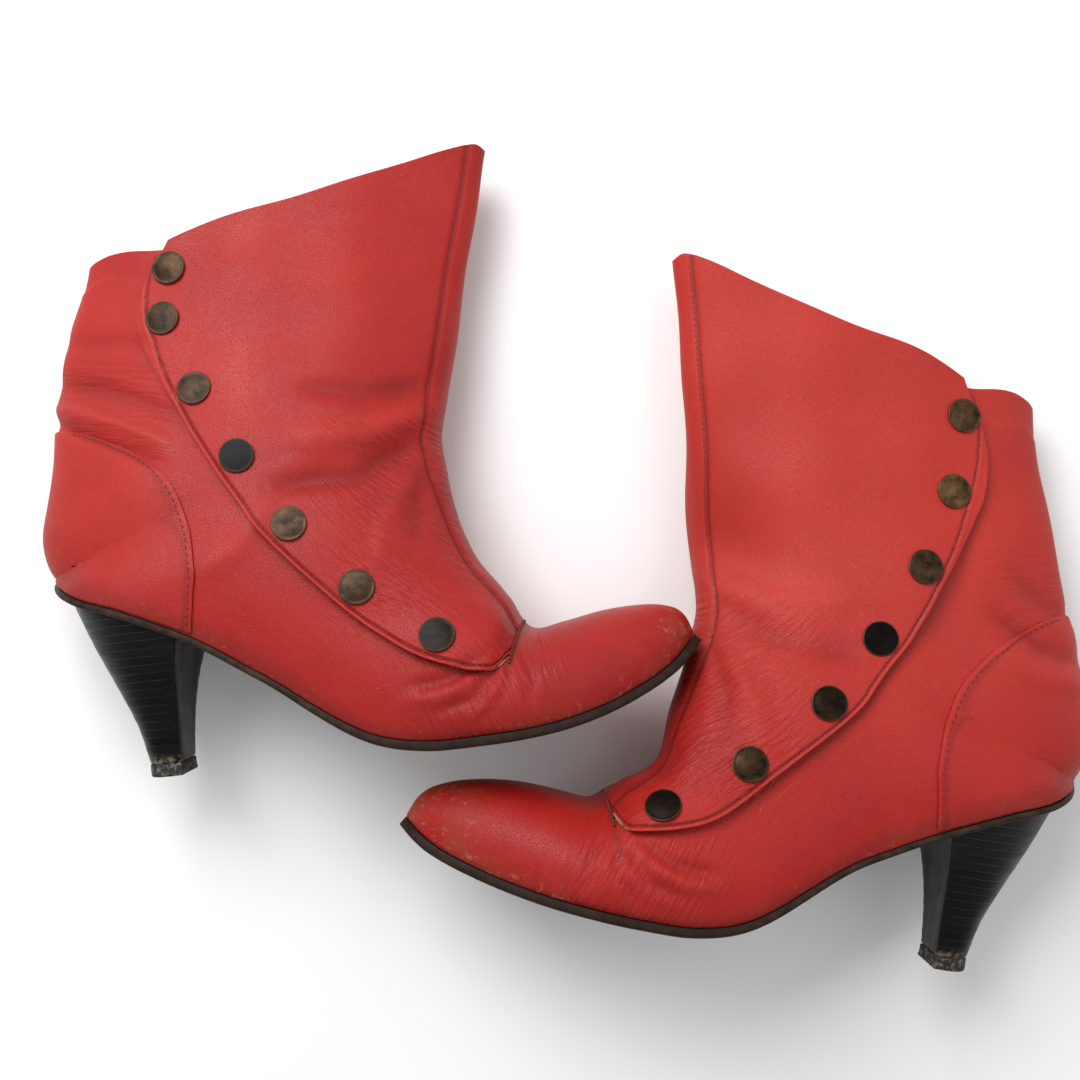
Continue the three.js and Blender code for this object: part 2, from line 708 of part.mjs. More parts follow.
function bootPieces(boot) {
  const skin = new Skin(boot);
  const seats = snapSeats(skin);
  const holes = seats.map((s) => pin(postRadius + fit, -6, 9, s.place, s.normal));
  const { middle, down } = bottomFrame(skin, screwAt);
  const screwTop = middle.clone().addScaledVector(down, -insoleRise - insoleThick - fit);
  const up = down.clone().negate();
  const screwHole = pin(screwRadius + fit, -screwLength - 2, 1, screwTop, up);
  const group = new THREE.Group();
  const add = (name, geometry, material) => {
    const mesh = new THREE.Mesh(geometry, material);
    mesh.name = boot.name + "_" + name;
    group.add(mesh);
  };

  add("vamp", vamp(skin), leatherRed);
  add("outer_quarter", cut(outerQuarter(skin), ...holes), leatherRed);
  add("inner_quarter", innerQuarter(skin), leatherRed);
  add("front_panel", frontPanel(skin), leatherRed);
  add("flap", cut(flapPanel(skin), ...holes), leatherRed);
  add("counter_cover", counterCover(skin), leatherRed);
  add("toe_puff", toePuff(skin), board);
  add("counter_stiffener", counterStiffener(skin), board);
  add("insole_board", cut(insoleOf(skin), screwHole), board);
  add("shank", shankOf(skin), steel);
  add("sock_lining", sockOf(skin), leatherRed);
  add("outsole", cut(soleOf(skin), screwHole), soleBrown);
  add("heel_block", cut(heelOf(skin), screwHole), heelBlack);
  add("heel_breast_cover", breastOf(skin), heelBlack);
  add("top_lift", topLiftOf(skin), rubber);
  const head = [[0, -screwLength], [screwRadius, -screwLength], [screwRadius, 0], [4.4, 0], [4.4, screwHead], [0, screwHead]];
  add("heel_screw", turned(head, screwTop, up), steel);
  seats.forEach(({ place, normal, lift }, i) => {
    const raised = place.clone().addScaledVector(normal, lift);
    add("snap_cap_" + (i + 1), turned(capProfile(), raised, normal), brass);
    add("snap_stud_" + (i + 1), turned(studProfile(), place, normal, smallSides), brass);
  });

  // The straight line that the flap swings about, from the throat to the top of the front seam.
  const hingeEnd = (name, x, y, z, share) => {
    const end = new THREE.Object3D();
    end.name = boot.name + "_" + name;
    end.position.set(...skin.placed(x, y, share), z);
    group.add(end);
  };
  hingeEnd("flap_hinge_low", 142, 40, 18, 0.96);
  hingeEnd("flap_hinge_top", 151, 243, -18, 0.96);
  return group;
}

// Lays a boot down: tilted until ball and counter touch, mirrored for the left foot, and turned in place.
function laid(pieces, mirrored, turn) {
  pieces.rotation.y = -lieTilt;
  const hand = new THREE.Group().add(pieces);
  hand.scale.x = mirrored ? -1 : 1;
  const placed = new THREE.Group().add(hand);
  placed.rotation.z = THREE.MathUtils.degToRad(mirrored ? -turn : turn);
  placed.updateMatrixWorld(true);
  return placed;
}

const rightPieces = bootPieces(rightBoot);
const leftPieces = bootPieces(leftBoot);
const pair = new THREE.Group();
pair.add(laid(rightPieces, false, 7.75), laid(leftPieces, true, 11.6));

// The right boot's toe tip lies this far from the left boot's front ridge at the ankle, along and across the row.
const toeRests = { x: 3.5, y: 6 };
const toe = rightPieces.localToWorld(new Skin(rightBoot).at(toeTip, 0));
const ridge = leftPieces.localToWorld(new Skin(leftBoot).at(13, 0));
pair.children[1].position.set(toe.x - ridge.x + toeRests.x, toe.y - ridge.y + toeRests.y, 0);

// Each boot rests on the surface, and the origin is under the middle of the pair.
for (const boot of pair.children) {
  boot.updateMatrixWorld(true);
  boot.position.z = -new THREE.Box3().setFromObject(boot, true).min.z;
}
pair.updateMatrixWorld(true);
const box = new THREE.Box3().setFromObject(pair, true);
for (const boot of pair.children) {
  boot.position.x -= (box.min.x + box.max.x) / 2;
  boot.position.y -= (box.min.y + box.max.y) / 2;
}

export default pair;
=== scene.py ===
"""A pair of red leather heeled ankle boots with snap flaps, lying on their inner sides.

The leather is drawn in each boot's own frame, in millimetres: x from heel to toe, y up the leg, z towards the
outer side. A place on it is (t, a): t counts stations from the toe tip to the shaft top, and a runs round the
boot, from 1 on the outer bottom edge or back line, through 0 on the front ridge, to -1 on the inner side.
"""
import math

import bmesh
import bpy
import numpy as np
from mathutils import Matrix, Vector


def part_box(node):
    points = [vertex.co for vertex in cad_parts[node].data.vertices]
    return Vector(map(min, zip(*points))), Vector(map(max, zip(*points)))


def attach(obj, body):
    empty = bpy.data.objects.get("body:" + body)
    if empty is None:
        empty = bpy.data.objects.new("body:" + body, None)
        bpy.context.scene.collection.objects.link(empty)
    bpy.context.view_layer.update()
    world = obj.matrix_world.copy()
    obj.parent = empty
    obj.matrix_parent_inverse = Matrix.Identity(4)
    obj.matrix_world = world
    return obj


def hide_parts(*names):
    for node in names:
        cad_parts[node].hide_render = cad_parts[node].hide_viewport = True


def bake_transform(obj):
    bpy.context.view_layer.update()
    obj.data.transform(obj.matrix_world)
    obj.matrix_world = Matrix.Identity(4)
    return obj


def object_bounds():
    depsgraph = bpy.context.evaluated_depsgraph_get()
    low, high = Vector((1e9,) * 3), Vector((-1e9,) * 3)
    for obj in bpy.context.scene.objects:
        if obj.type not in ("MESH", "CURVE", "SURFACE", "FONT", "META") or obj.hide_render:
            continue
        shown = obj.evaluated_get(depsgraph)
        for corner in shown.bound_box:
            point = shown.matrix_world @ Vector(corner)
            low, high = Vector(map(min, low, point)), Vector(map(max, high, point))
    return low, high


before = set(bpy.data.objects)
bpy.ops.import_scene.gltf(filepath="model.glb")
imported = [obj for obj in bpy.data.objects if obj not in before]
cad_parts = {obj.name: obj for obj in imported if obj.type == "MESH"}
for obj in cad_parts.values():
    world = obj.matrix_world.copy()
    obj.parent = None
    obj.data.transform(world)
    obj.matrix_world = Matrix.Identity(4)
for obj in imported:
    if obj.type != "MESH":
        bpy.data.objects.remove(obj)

cad_low, cad_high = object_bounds()

# ---------------------------------------------------------------- the drawn boot

COLUMNS = "bx by fx fy outer inner base square back_z front_z".split()
STATIONS = np.array([
    [210.5, 24, 210.5, 25, 0, 0, 0.3, 0.5, 0, 0],
    [206, 20, 208, 32, 9, 9, 0.3, 0.5, 0, 0],
    [200, 16, 203, 36.5, 15, 15.5, 0.32, 0.48, 0, 0],
    [190, 12, 193, 39.5, 22, 23, 0.34, 0.46, 0, 0],
    [176, 8, 178, 40.5, 29, 30, 0.34, 0.45, 0, 0],
    [160, 5.3, 162, 39, 35.5, 36, 0.33, 0.45, 0, 0],
    [143, 4.2, 150, 38, 40, 40.5, 0.32, 0.45, 0, 0],
    [126, 4, 144, 44, 41.5, 42, 0.31, 0.46, 0, -1],
    [108, 4.5, 137.5, 54, 41, 41, 0.3, 0.47, 0, -2],
    [88, 8.5, 130, 66, 38.5, 37, 0.29, 0.48, 0, -3],
    [68, 18.5, 126, 79, 36, 33.5, 0.27, 0.5, 0, -5],
    [48, 33.5, 124, 92, 34, 31.5, 0.27, 0.5, 0, -7],
    [25, 52, 122.5, 105, 33, 31.5, 0.28, 0.48, 0, -10],
    [0, 65.5, 121.5, 116, 33, 32.5, 0.27, 0.46, 0, -14],
    [-20, 73.5, 123, 124, 32, 32, 0.17, 0.46, 0, -17],
    [-33, 82, 125.5, 132, 30.5, 30.5, 0, 0.46, 0, -19],
    [-37, 96, 128.5, 143, 29, 29, 0, 0.48, -1, -21],
    [-34, 112, 132, 156, 26, 26, 0, 0.5, -3, -22],
    [-28, 131, 136, 172, 22.5, 23, 0, 0.5, -6, -23],
    [-22, 153, 141, 190, 19.5, 20, 0, 0.5, -10, -24],
    [-14, 178, 147, 210, 17.5, 18, 0, 0.5, -14, -24.5],
    [-7, 200, 153, 230, 16, 16.5, 0, 0.5, -17, -25],
    [-4, 217, 158, 246, 15, 15, 0, 0.5, -20, -25],
])
LAST = len(STATIONS) - 1

# Places along t.
THROAT = 6.6  # where the vamp ends and the flap begins
FLAP_START = 6.7  # where the curve of the flap's edge begins
BACK_CORNER = 15  # where the bottom edge has run round to the back line
SOLE_END = BACK_CORNER - 0.05
COLLAR_FROM = 17  # above this, stations bend to follow the cut of the top
COUNTER_TOP = 18.5
PANEL_HINGE = 13.0  # a station on the front ridge; the point taken there is not used

INNER_SEAM = 0.36  # the front panel's inner edge, as an a
LIE_TILT = math.radians(4.2)
SNAPS = range(1, 8)

# Millimetres, unless a comment says otherwise.
ANKLE_Y = 118
LEATHER = 1.7
QUARTER_REACH = 16  # how far the outer quarter goes under the flap
SOLE_THICK = 3.6
WAIST_THICK = 2.6
SEAT_GAP = 0.3  # between the leather and this sole
CAD_SEAT_GAP = 0.5  # between the leather and the CAD sole
HEEL_GAP = 0.3  # between the sole and the heel block
FLAP_LIFT = 4.3
CAP_LIFT = 0.35  # how high a snap cap stands over the flap
MM = 0.001  # in metres
LIES_AT = 0.0002  # in metres, the height that the leather of the lower side lies at

# How each boot's soft shaft leans and sags back, its toe curls and spreads, its arch rises, its instep sinks
# behind the throat, its front is pressed down at the ankle, and how it is turned where it lies.
BOOTS = {
    "right": dict(stretch=0.9, lean_back=-0.07, lean_front=-0.02, sag=6, toe_lift=4, toe_spread=0,
                  arch_rise=4, instep_sunk=0, pressed=0, flap_turn=-1, turn=7.75, mirror=1),
    "left": dict(stretch=1.086, lean_back=0.07, lean_front=0.007, sag=0, toe_lift=-6, toe_spread=8,
                 arch_rise=8, instep_sunk=8, pressed=9, flap_turn=1, turn=-11.6, mirror=-1),
}


def curve_through(points):
    """A smooth function through [x, y] points, held level outside them."""
    xs, ys = np.array(points, float).T
    slopes = np.array([(ys[min(i + 1, len(xs) - 1)] - ys[max(i - 1, 0)])
                       / (xs[min(i + 1, len(xs) - 1)] - xs[max(i - 1, 0)]) for i in range(len(xs))])

    def value(x):
        x = np.clip(np.asarray(x, float), xs[0], xs[-1])
        i = np.clip(np.searchsorted(xs, x, side="right") - 1, 0, len(xs) - 2)
        step = xs[i + 1] - xs[i]
        f = (x - xs[i]) / step
        return (ys[i] * (1 + 2 * f) * (1 - f) ** 2 + slopes[i] * step * f * (1 - f) ** 2
                + ys[i + 1] * f * f * (3 - 2 * f) + slopes[i + 1] * step * f * f * (f - 1))
    return value


# Edges on the outer side, as shares of a station line from its back end, at places along t.
flap_edge_drawn = curve_through([
    [6.7, 0.66], [7.6, 0.585], [9, 0.522], [10, 0.495], [11, 0.471], [12, 0.453], [13, 0.474], [14, 0.505],
    [15, 0.508], [16.2, 0.464], [17.3, 0.401], [18.4, 0.329], [19.4, 0.266], [20, 0.225], [20.8, 0.198],
    [21.3, 0.205], [22, 0.24]])
flap_creep = curve_through([
    [6.7, 0.09], [7.7, 0.073], [9.35, 0.044], [10.9, 0.046], [13, 0.03], [15, 0.025], [18, 0.017],
    [19.6, 0.006], [22, 0]])
flap_fold = curve_through([[6.7, 0.93], [7.5, 0.945], [8.6, 0.955], [22, 0.955]])
counter_edge = curve_through([
    [12.05, 0.005], [12.5, 0.13], [13, 0.235], [14, 0.335], [15.1, 0.37], [16.1, 0.345], [17.1, 0.262],
    [18, 0.13], [18.6, 0.01]])
# How far the cut of the top comes down, in stations, at shares of the last station line.
quarter_top = curve_through([[0, 0.16], [0.025, 0.03], [0.07, 0], [0.2, 0.5], [0.35, 0.85], [1, 1.2]])
flap_top = curve_through([
    [0.15, 0.8], [0.2, 0.58], [0.3, 0.44], [0.55, 0.3], [0.8, 0.14], [0.92, 0], [0.97, 0.05], [1, 0.34]])


def smooth(x, low, high):
    """0 below low, 1 above high, and an even curve between them."""
    f = np.clip((np.asarray(x, float) - low) / (high - low), 0, 1)
    return f * f * (3 - 2 * f)


def mix(a, b, f):
    return a + (b - a) * f


def bell(x, middle, width):
    """1 at the middle, falling away on both sides."""
    return np.exp(-(((x - middle) / width) ** 2))


def along(t, column):
    """Catmull-Rom interpolation of one column of the stations."""
    t = np.asarray(t, float)
    values = STATIONS[:, COLUMNS.index(column)]
    i = np.clip(np.floor(t).astype(int), 0, LAST - 1)
    f = t - i
    p0, p1, p2, p3 = (values[np.clip(i + k, 0, LAST)] for k in (-1, 0, 1, 2))
    bend = (2 * p0 - 5 * p1 + 4 * p2 - p3) * f * f + (3 * p1 - p0 - 3 * p2 + p3) * f**3
    return 0.5 * (2 * p1 + (p2 - p0) * f + bend)


class Skin:
    """The outer surface of one boot's leather, with the folds that wear has put in it."""

    def __init__(self, side):
        self.side = side
        self.boot = BOOTS[side]
        self.folds = [(np.array(line, float), depth, width) for line, depth, width in FOLDS[side]]
        self.matrix = self.lie()

    def lie(self):
        """The matrix from the boot's own millimetres to the row frame's metres: turned as the boot lies, and
        put where the frame's sole is."""
        boot = self.boot
        turned = (Matrix.Rotation(math.radians(boot["turn"]), 4, "Z")
                  @ Matrix.Diagonal((boot["mirror"], 1, 1, 1))
                  @ Matrix.Rotation(-LIE_TILT, 4, "Y") @ Matrix.Scale(MM, 4))
        rim = np.concatenate([self.sole_corners(np.linspace(0, SOLE_END, 31), side) for side in (1, -1)])
        rim = rim @ np.array(turned.to_3x3()).T
        low, high = (np.array(corner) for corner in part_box(self.side + "_outsole"))
        return Matrix.Translation(Vector((low + high - rim.max(0) - rim.min(0)) / 2)) @ turned

    def to_row(self, points):
        """Points of the boot's own frame, in the row frame."""
        m = np.array(self.matrix)
        return np.asarray(points) @ m[:3, :3].T + m[:3, 3]

    def placed(self, x, y, share):
        """Where a drawn point goes once the boot has slumped; share is its place along the station line."""
        boot = self.boot
        shaft = np.maximum(y - ANKLE_Y, 0)
        forward = np.maximum((x - 140) / 70, 0) ** 2
        low = (1 - share) ** 2
        lean = mix(boot["lean_back"], boot["lean_front"], share) * shaft
        lean = lean - boot["sag"] * bell(y, 175, 34) * low
        arch = boot["arch_rise"] * bell(x, 57, 25) * low
        grown = np.minimum(y, ANKLE_Y) + shaft * boot["stretch"]
        return x + lean + boot["toe_spread"] * forward, grown + boot["toe_lift"] * forward + arch

    def side_view(self, t, share):
        """The drawn point at a share of the station line."""
        return mix(along(t, "bx"), along(t, "fx"), share), mix(along(t, "by"), along(t, "fy"), share)

    def reach(self, t):
        """The widest angle that a section reaches round from the front ridge, on its oval."""
        return np.arccos(2 * np.maximum(along(t, "base"), 0) - 1)

    def a_of(self, t, share):
        base = np.maximum(along(t, "base"), 0)
        return np.arccos(np.clip(2 * (base + (1 - base) * share) - 1, -1, 1)) / self.reach(t)

    def share_of(self, t, a):
        base = np.maximum(along(t, "base"), 0)
        return ((1 + np.cos(np.abs(a) * self.reach(t))) / 2 - base) / (1 - base)

    def span(self, t):
        """Length of the station line."""
        return np.hypot(along(t, "fx") - along(t, "bx"), along(t, "fy") - along(t, "by"))

    def flap_edge(self, t):
        return flap_edge_drawn(t) + self.boot["flap_turn"] * flap_creep(t)

    def at(self, t, a):
        share = self.share_of(t, a)
        x, y = self.placed(*self.side_view(t, share), share)
        around = np.sin(a * self.reach(t))
        half = np.where(around >= 0, along(t, "outer"), along(t, "inner"))
        rounded = np.sign(around) * np.abs(around) ** (2 * along(t, "square"))
        instep = self.boot["instep_sunk"] * bell(t, 8.4, 1.05) * share**5
        sunk = self.boot["pressed"] * bell(t, 16.2, 1.6) * share**2
        x, y = x - 0.88 * instep, y - 0.47 * instep
        z = mix(along(t, "back_z"), along(t, "front_z"), share) - sunk + half * rounded
        return np.stack([x, y, z], -1)

    def normal(self, t, a):
        step = 0.02
        place = np.clip(t, 2 * step, LAST - step)
        out = np.cross(self.at(place + step, a) - self.at(place - step, a),
                       self.at(place, a + step) - self.at(place, a - step))
        out /= np.linalg.norm(out, axis=-1, keepdims=True) + 1e-9
        toe = np.clip(along(t, "outer") / 6, 0, 1)[..., None]
        out = out * toe + np.array([1, 0, 0]) * (1 - toe)
        return out / np.linalg.norm(out, axis=-1, keepdims=True)

    def worn(self, t, a):
        """How far the folds push the leather out, in millimetres."""
        share = self.share_of(t, a)
        x, y = self.placed(*self.side_view(t, share), share)
        push = np.zeros(np.broadcast(x, y).shape)
        for line, depth, width in self.folds:
            push = push + depth * near(x, y, line, width)
        outer = smooth(a, -0.05, 0.12)
        inner = smooth(-a, 0.1, 0.3)
        soft = 0.6 * np.sin(0.11 * x + 0.05 * y + 1) * np.sin(0.07 * y - 0.05 * x) * smooth(y, 60, 120)
        return push * (outer + 0.5 * inner) + soft

    def point(self, t, a, out=0.0):
        """A place on the leather, moved out along its normal."""
        t, a = np.broadcast_arrays(np.asarray(t, float), np.asarray(a, float))
        away = np.asarray(out) + self.worn(t, a)
        return self.at(t, a) + self.normal(t, a) * away[..., None]

    def underlap(self, t):
        """The share that the outer quarter reaches under the flap to."""
        edge = self.flap_edge(t)
        return np.minimum(edge + QUARTER_REACH / self.span(t), edge + 0.6 * (flap_fold(t) - edge))

    def flap_out(self, t, a):
        """How high the flap stands over the quarter."""
        free = self.a_of(t, np.minimum(self.underlap(t) + 0.04, flap_fold(t)))
        fold = self.a_of(t, flap_fold(t))
        at_fold = mix(0.6, 0, smooth(t, 8.2, 11.5))
        sewn_down = mix(0.14, 1, smooth(t, THROAT, 7.6))
        return FLAP_LIFT * sewn_down * mix(at_fold, 1, smooth(a, fold, free))

    def edge_half(self, t, side):
        """Half width of the bottom edge: side is 1 for the outer edge and -1 for the inner one."""
        return np.abs(self.at(t, np.full(np.shape(t), float(side)))[..., 2] - along(t, "back_z"))

    def bottom(self, t):
        """Middle of the bottom line, and the direction down from it."""
        def place(u):
            x, y = self.placed(along(u, "bx"), along(u, "by"), 0 * u)
            return np.stack([x, y, 0 * x], -1)
        forward = place(t - 0.05) - place(t + 0.05)
        forward /= np.linalg.norm(forward, axis=-1, keepdims=True)
        return place(t), np.stack([forward[..., 1], -forward[..., 0], 0 * t], -1)

    def sole_corners(self, t, side):
        """The corners of the CAD sole's section on one side."""
        middle, down = self.bottom(t)
        half = (self.edge_half(t, side) + 1) * side
        corners = []
        for depth, inset in ((0, 0), (0.75, 0), (1, 0.8)):
            p = middle + down * (CAD_SEAT_GAP + depth * SOLE_THICK)
            p[..., 2] = half - side * inset
            corners.append(p)
        return np.concatenate(corners)


def near(x, y, line, width):
    """1 on the line, falling to 0 at a few widths, and fading out towards its two ends."""
    best = np.full(np.broadcast(x, y).shape, 1e9)
    where = np.zeros(best.shape)
    lengths = np.hypot(*np.diff(line, axis=0).T)
    total = lengths.sum()
    start = 0.0
    for (x0, y0), (x1, y1), length in zip(line[:-1], line[1:], lengths):
        f = np.clip(((x - x0) * (x1 - x0) + (y - y0) * (y1 - y0)) / length**2, 0, 1)
        d = np.hypot(x - x0 - f * (x1 - x0), y - y0 - f * (y1 - y0))
        closer = d < best
        best = np.where(closer, d, best)
        where = np.where(closer, (start + f * length) / total, where)
        start += length
    taper = np.clip(1.15 - np.abs(2 * where - 1) ** 3, 0, 1)
    return bell(best, 0, width) * taper


# Folds and creases, each a line in the slumped boot's side view with its height (below 0 for a crease) and
# half width.
FOLDS = {
    "right": [
        ([[136, 33], [120, 26], [104, 25]], -1.3, 2.4),
        ([[140, 31], [128, 18], [112, 14]], -1.0, 2.2),
        ([[143, 30], [138, 18], [128, 9]], -0.8, 2.0),
        ([[147, 32], [150, 22], [148, 12]], -0.7, 2.2),
        ([[130, 26], [116, 20], [102, 20]], 0.9, 2.6),
        ([[141, 26], [134, 15], [124, 10]], 0.8, 2.2),
        ([[-32, 145], [-4, 131], [20, 119]], -1.6, 2.4),
        ([[-32, 151], [-6, 141], [23, 127]], 2.2, 3.2),
        ([[-30, 160], [-4, 153], [26, 138]], -1.4, 3.4),
        ([[-28, 176], [-4, 172], [20, 166]], -0.9, 4.0),
        ([[118, 118], [92, 104], [60, 104]], -2.0, 4.5),
        ([[120, 128], [96, 120], [66, 122]], 1.9, 5.5),
        ([[122, 138], [98, 136], [72, 142]], -1.7, 4.5),
        ([[121, 112], [112, 90], [112, 70]], -0.9, 3.5),
        ([[112, 106], [100, 84], [96, 66]], 0.8, 4.0),
        ([[60, 100], [44, 84], [26, 76]], 0.8, 5.0),
    ],
    "left": [
        ([[136, 33], [120, 26], [104, 25]], -1.4, 2.6),
        ([[140, 30], [128, 18], [112, 14]], -1.1, 2.4),
        ([[144, 29], [139, 17], [130, 8]], -0.8, 2.2),
        ([[148, 31], [151, 21], [149, 11]], -0.7, 2.2),
        ([[130, 25], [116, 20], [102, 20]], 1.0, 2.8),
        ([[-30, 126], [-8, 130], [16, 142]], -1.6, 4.0),
        ([[-33, 118], [-10, 119], [14, 127]], 1.2, 4.0),
        ([[-34, 142], [-12, 146], [10, 158]], -1.0, 4.0),
        ([[118, 122], [94, 112], [60, 112]], -1.2, 5.0),
        ([[122, 132], [98, 126], [66, 132]], 1.1, 6.0),
        ([[121, 112], [110, 90], [108, 68]], -1.0, 3.6),
        ([[110, 104], [98, 84], [92, 66]], 0.8, 4.2),
        ([[40, 120], [28, 150], [26, 176]], -0.9, 5.0),
    ],
}


# ---------------------------------------------------------------- materials

class Value:
    """A shader socket that can be used in Python expressions."""

    def __init__(self, maker, socket):
        self.maker, self.socket = maker, socket

    def _math(self, operation, *terms):
        return self.maker.node("ShaderNodeMath", {"operation": operation}, terms)

    def __add__(self, other): return self._math("ADD", self, other)
    def __mul__(self, other): return self._math("MULTIPLY", self, other)
    def __sub__(self, other): return self._math("SUBTRACT", self, other)
    def __rsub__(self, other): return self._math("SUBTRACT", other, self)
    def __abs__(self): return self._math("ABSOLUTE", self)
    __radd__, __rmul__ = __add__, __mul__


class Maker:
    """Builds one material."""

    def __init__(self, name):
        self.material = bpy.data.materials.new(name)
        self.material.use_nodes = True
        self.tree = self.material.node_tree
        self.tree.nodes.clear()

    def node(self, kind, settings=None, inputs=(), output=0):
        """One node: its type, its settings, and its inputs by name or place. Gives one of its outputs."""
        made = self.tree.nodes.new(kind)
        for key, value in (settings or {}).items():
            setattr(made, key, value)
        pairs = inputs.items() if isinstance(inputs, dict) else enumerate(inputs)
        for key, value in pairs:
            if isinstance(value, Value):
                self.tree.links.new(value.socket, made.inputs[key])
            else:
                made.inputs[key].default_value = value
        return None if output is None else Value(self, made.outputs[output])

    def place(self):
        return self.node("ShaderNodeTexCoord", output="Object")

    def along(self, vector, scale):
        return self.node("ShaderNodeMapping", {}, {"Vector": vector, "Scale": scale})

    def noise(self, scale, detail=3.0, roughness=0.55, vector=None):
        return self.node("ShaderNodeTexNoise", {}, {
            "Vector": vector or self.place(), "Scale": scale, "Detail": detail, "Roughness": roughness})

    def cells(self, scale):
        """How far a place is from the border of its cell."""
        return self.node("ShaderNodeTexVoronoi", {"feature": "DISTANCE_TO_EDGE"},
                         {"Vector": self.place(), "Scale": scale})

    def mask(self, name):
        return self.node("ShaderNodeAttribute", {"attribute_name": name}, output="Fac")

    def range(self, value, low, high, to_low=0.0, to_high=1.0):
        """value's run from low to high, turned into a run from to_low to to_high."""
        return self.node("ShaderNodeMapRange", {}, {
            "Value": value, "From Min": low, "From Max": high, "To Min": to_low, "To Max": to_high})

    def blend(self, factor, one, other):
        return self.node("ShaderNodeMix", {"data_type": "RGBA"}, {0: factor, 6: one, 7: other}, output=2)

    def furrows(self, noise, width):
        """1 along the thin lines where a noise passes its middle value, 0 elsewhere."""
        return self.range(abs(noise - 0.5), 0.0, width, 1.0, 0.0)

    def bump(self, height, distance, strength=1.0, below=None):
        inputs = {"Height": height, "Distance": distance, "Strength": strength}
        if below is not None:
            inputs["Normal"] = below
        return self.node("ShaderNodeBump", {}, inputs)

    def finish(self, **sockets):
        """Joins the surface's named sockets to the output and gives the material."""
        named = {key.replace("_", " "): value for key, value in sockets.items()}
        surface = self.node("ShaderNodeBsdfPrincipled", {}, named)
        self.node("ShaderNodeOutputMaterial", {}, {"Surface": surface}, output=None)
        return self.material


def rgb(red, green, blue):
    """A colour from its sRGB numbers out of 255."""
    def linear(c):
        c /= 255
        return c / 12.92 if c <= 0.04045 else ((c + 0.055) / 1.055) ** 2.4
    return (linear(red), linear(green), linear(blue), 1.0)


def red_leather():
    m = Maker("red_leather")
    paler_and_painted_highlight, dark = m.mask("paler_and_painted_highlight"), m.mask("dark")
    scuffed, creased = m.mask("scuffed"), m.mask("creased")
    clouds = m.range(m.noise(11, 4, 0.6), 0.34, 0.68)
    patches = m.noise(45, 4, 0.65)
    fine = m.range(m.noise(650, 3, 0.65), 0.35, 0.75)
    run = m.node("ShaderNodeUVMap", {"uv_map": "leather"})
    long_wrinkles = m.furrows(m.noise(1.0, 3, 0.5, m.along(run, (0.05, 0.3, 1.0))), 0.11)
    short_wrinkles = m.range(m.noise(1.0, 1, 0.5, m.along(run, (0.09, 0.5, 1.0))), 0.3, 0.7)
    crackle = m.range(m.cells(420), 0.0, 0.06, 1.0, 0.0)
    lines = long_wrinkles * 0.4 + short_wrinkles * 0.55 + crackle * 0.08

    colour = m.blend(clouds, rgb(146, 20, 16), rgb(170, 30, 23))
    # lighter red: the paler shafts, plus painted highlight on fold crests and along the flap's turned edge
    colour = m.blend(paler_and_painted_highlight * 0.6, colour, rgb(196, 60, 48))
    # darker red along seams, with painted shade in creases, grooves and the throat gap
    colour = m.blend(dark * 0.85, colour, rgb(92, 16, 16))
    # painted shade in the wrinkle furrows
    colour = m.blend(long_wrinkles * creased * 0.16, colour, rgb(96, 16, 15))
    colour = m.blend(m.range(patches, 0.4, 0.66) * scuffed * 0.7, colour, rgb(134, 60, 38))
    flakes = m.range(m.noise(300, 4, 0.75), 0.56, 0.7)
    colour = m.blend(flakes * scuffed * 0.6, colour, rgb(196, 122, 92))
    colour = m.blend(fine * 0.22, colour, rgb(128, 18, 17))

    grain = m.range(m.cells(1150), 0.0, 0.09)
    deep = m.bump(lines * -1.0 * creased, 0.0006, 0.75)
    normal = m.bump(grain * 0.6 + m.noise(1900, 2, 0.6) * 0.5, 0.00014, 0.7, deep)
    rough = m.range(patches, 0.3, 0.7, 0.36, 0.5) + scuffed * 0.12 + paler_and_painted_highlight * 0.05
    return m.finish(Base_Color=colour, Roughness=rough, Normal=normal, Specular_IOR_Level=0.27)


def lining_leather():
    m = Maker("tan_lining")
    colour = m.blend(m.noise(60, 4, 0.6), rgb(150, 112, 82), rgb(188, 152, 118))
    return m.finish(Base_Color=colour, Roughness=m.range(m.noise(200, 3), 0, 1, 0.65, 0.85),
                    Normal=m.bump(m.cells(1500), 0.0001, 0.5))


def thread():
    m = Maker("red_thread")
    colour = m.blend(m.noise(900, 2), rgb(84, 16, 15), rgb(130, 30, 26))
    twist = m.bump(m.noise(4000, 2), 0.00008, 0.6)
    return m.finish(Base_Color=colour, Roughness=0.7, Normal=twist)


def sole_leather():
    m = Maker("dark_sole_leather")
    worn = m.mask("worn")
    colour = m.blend(m.noise(120, 4, 0.65), rgb(24, 15, 13), rgb(44, 29, 24))
    colour = m.blend(worn * m.range(m.noise(240, 3), 0.35, 0.75) * 0.7, colour, rgb(112, 82, 60))
    layers = m.noise(300, 3, 0.6)
    return m.finish(Base_Color=colour, Roughness=m.range(layers, 0.2, 0.8, 0.42, 0.7),
                    Normal=m.bump(layers, 0.0002, 0.7), Specular_IOR_Level=0.16)


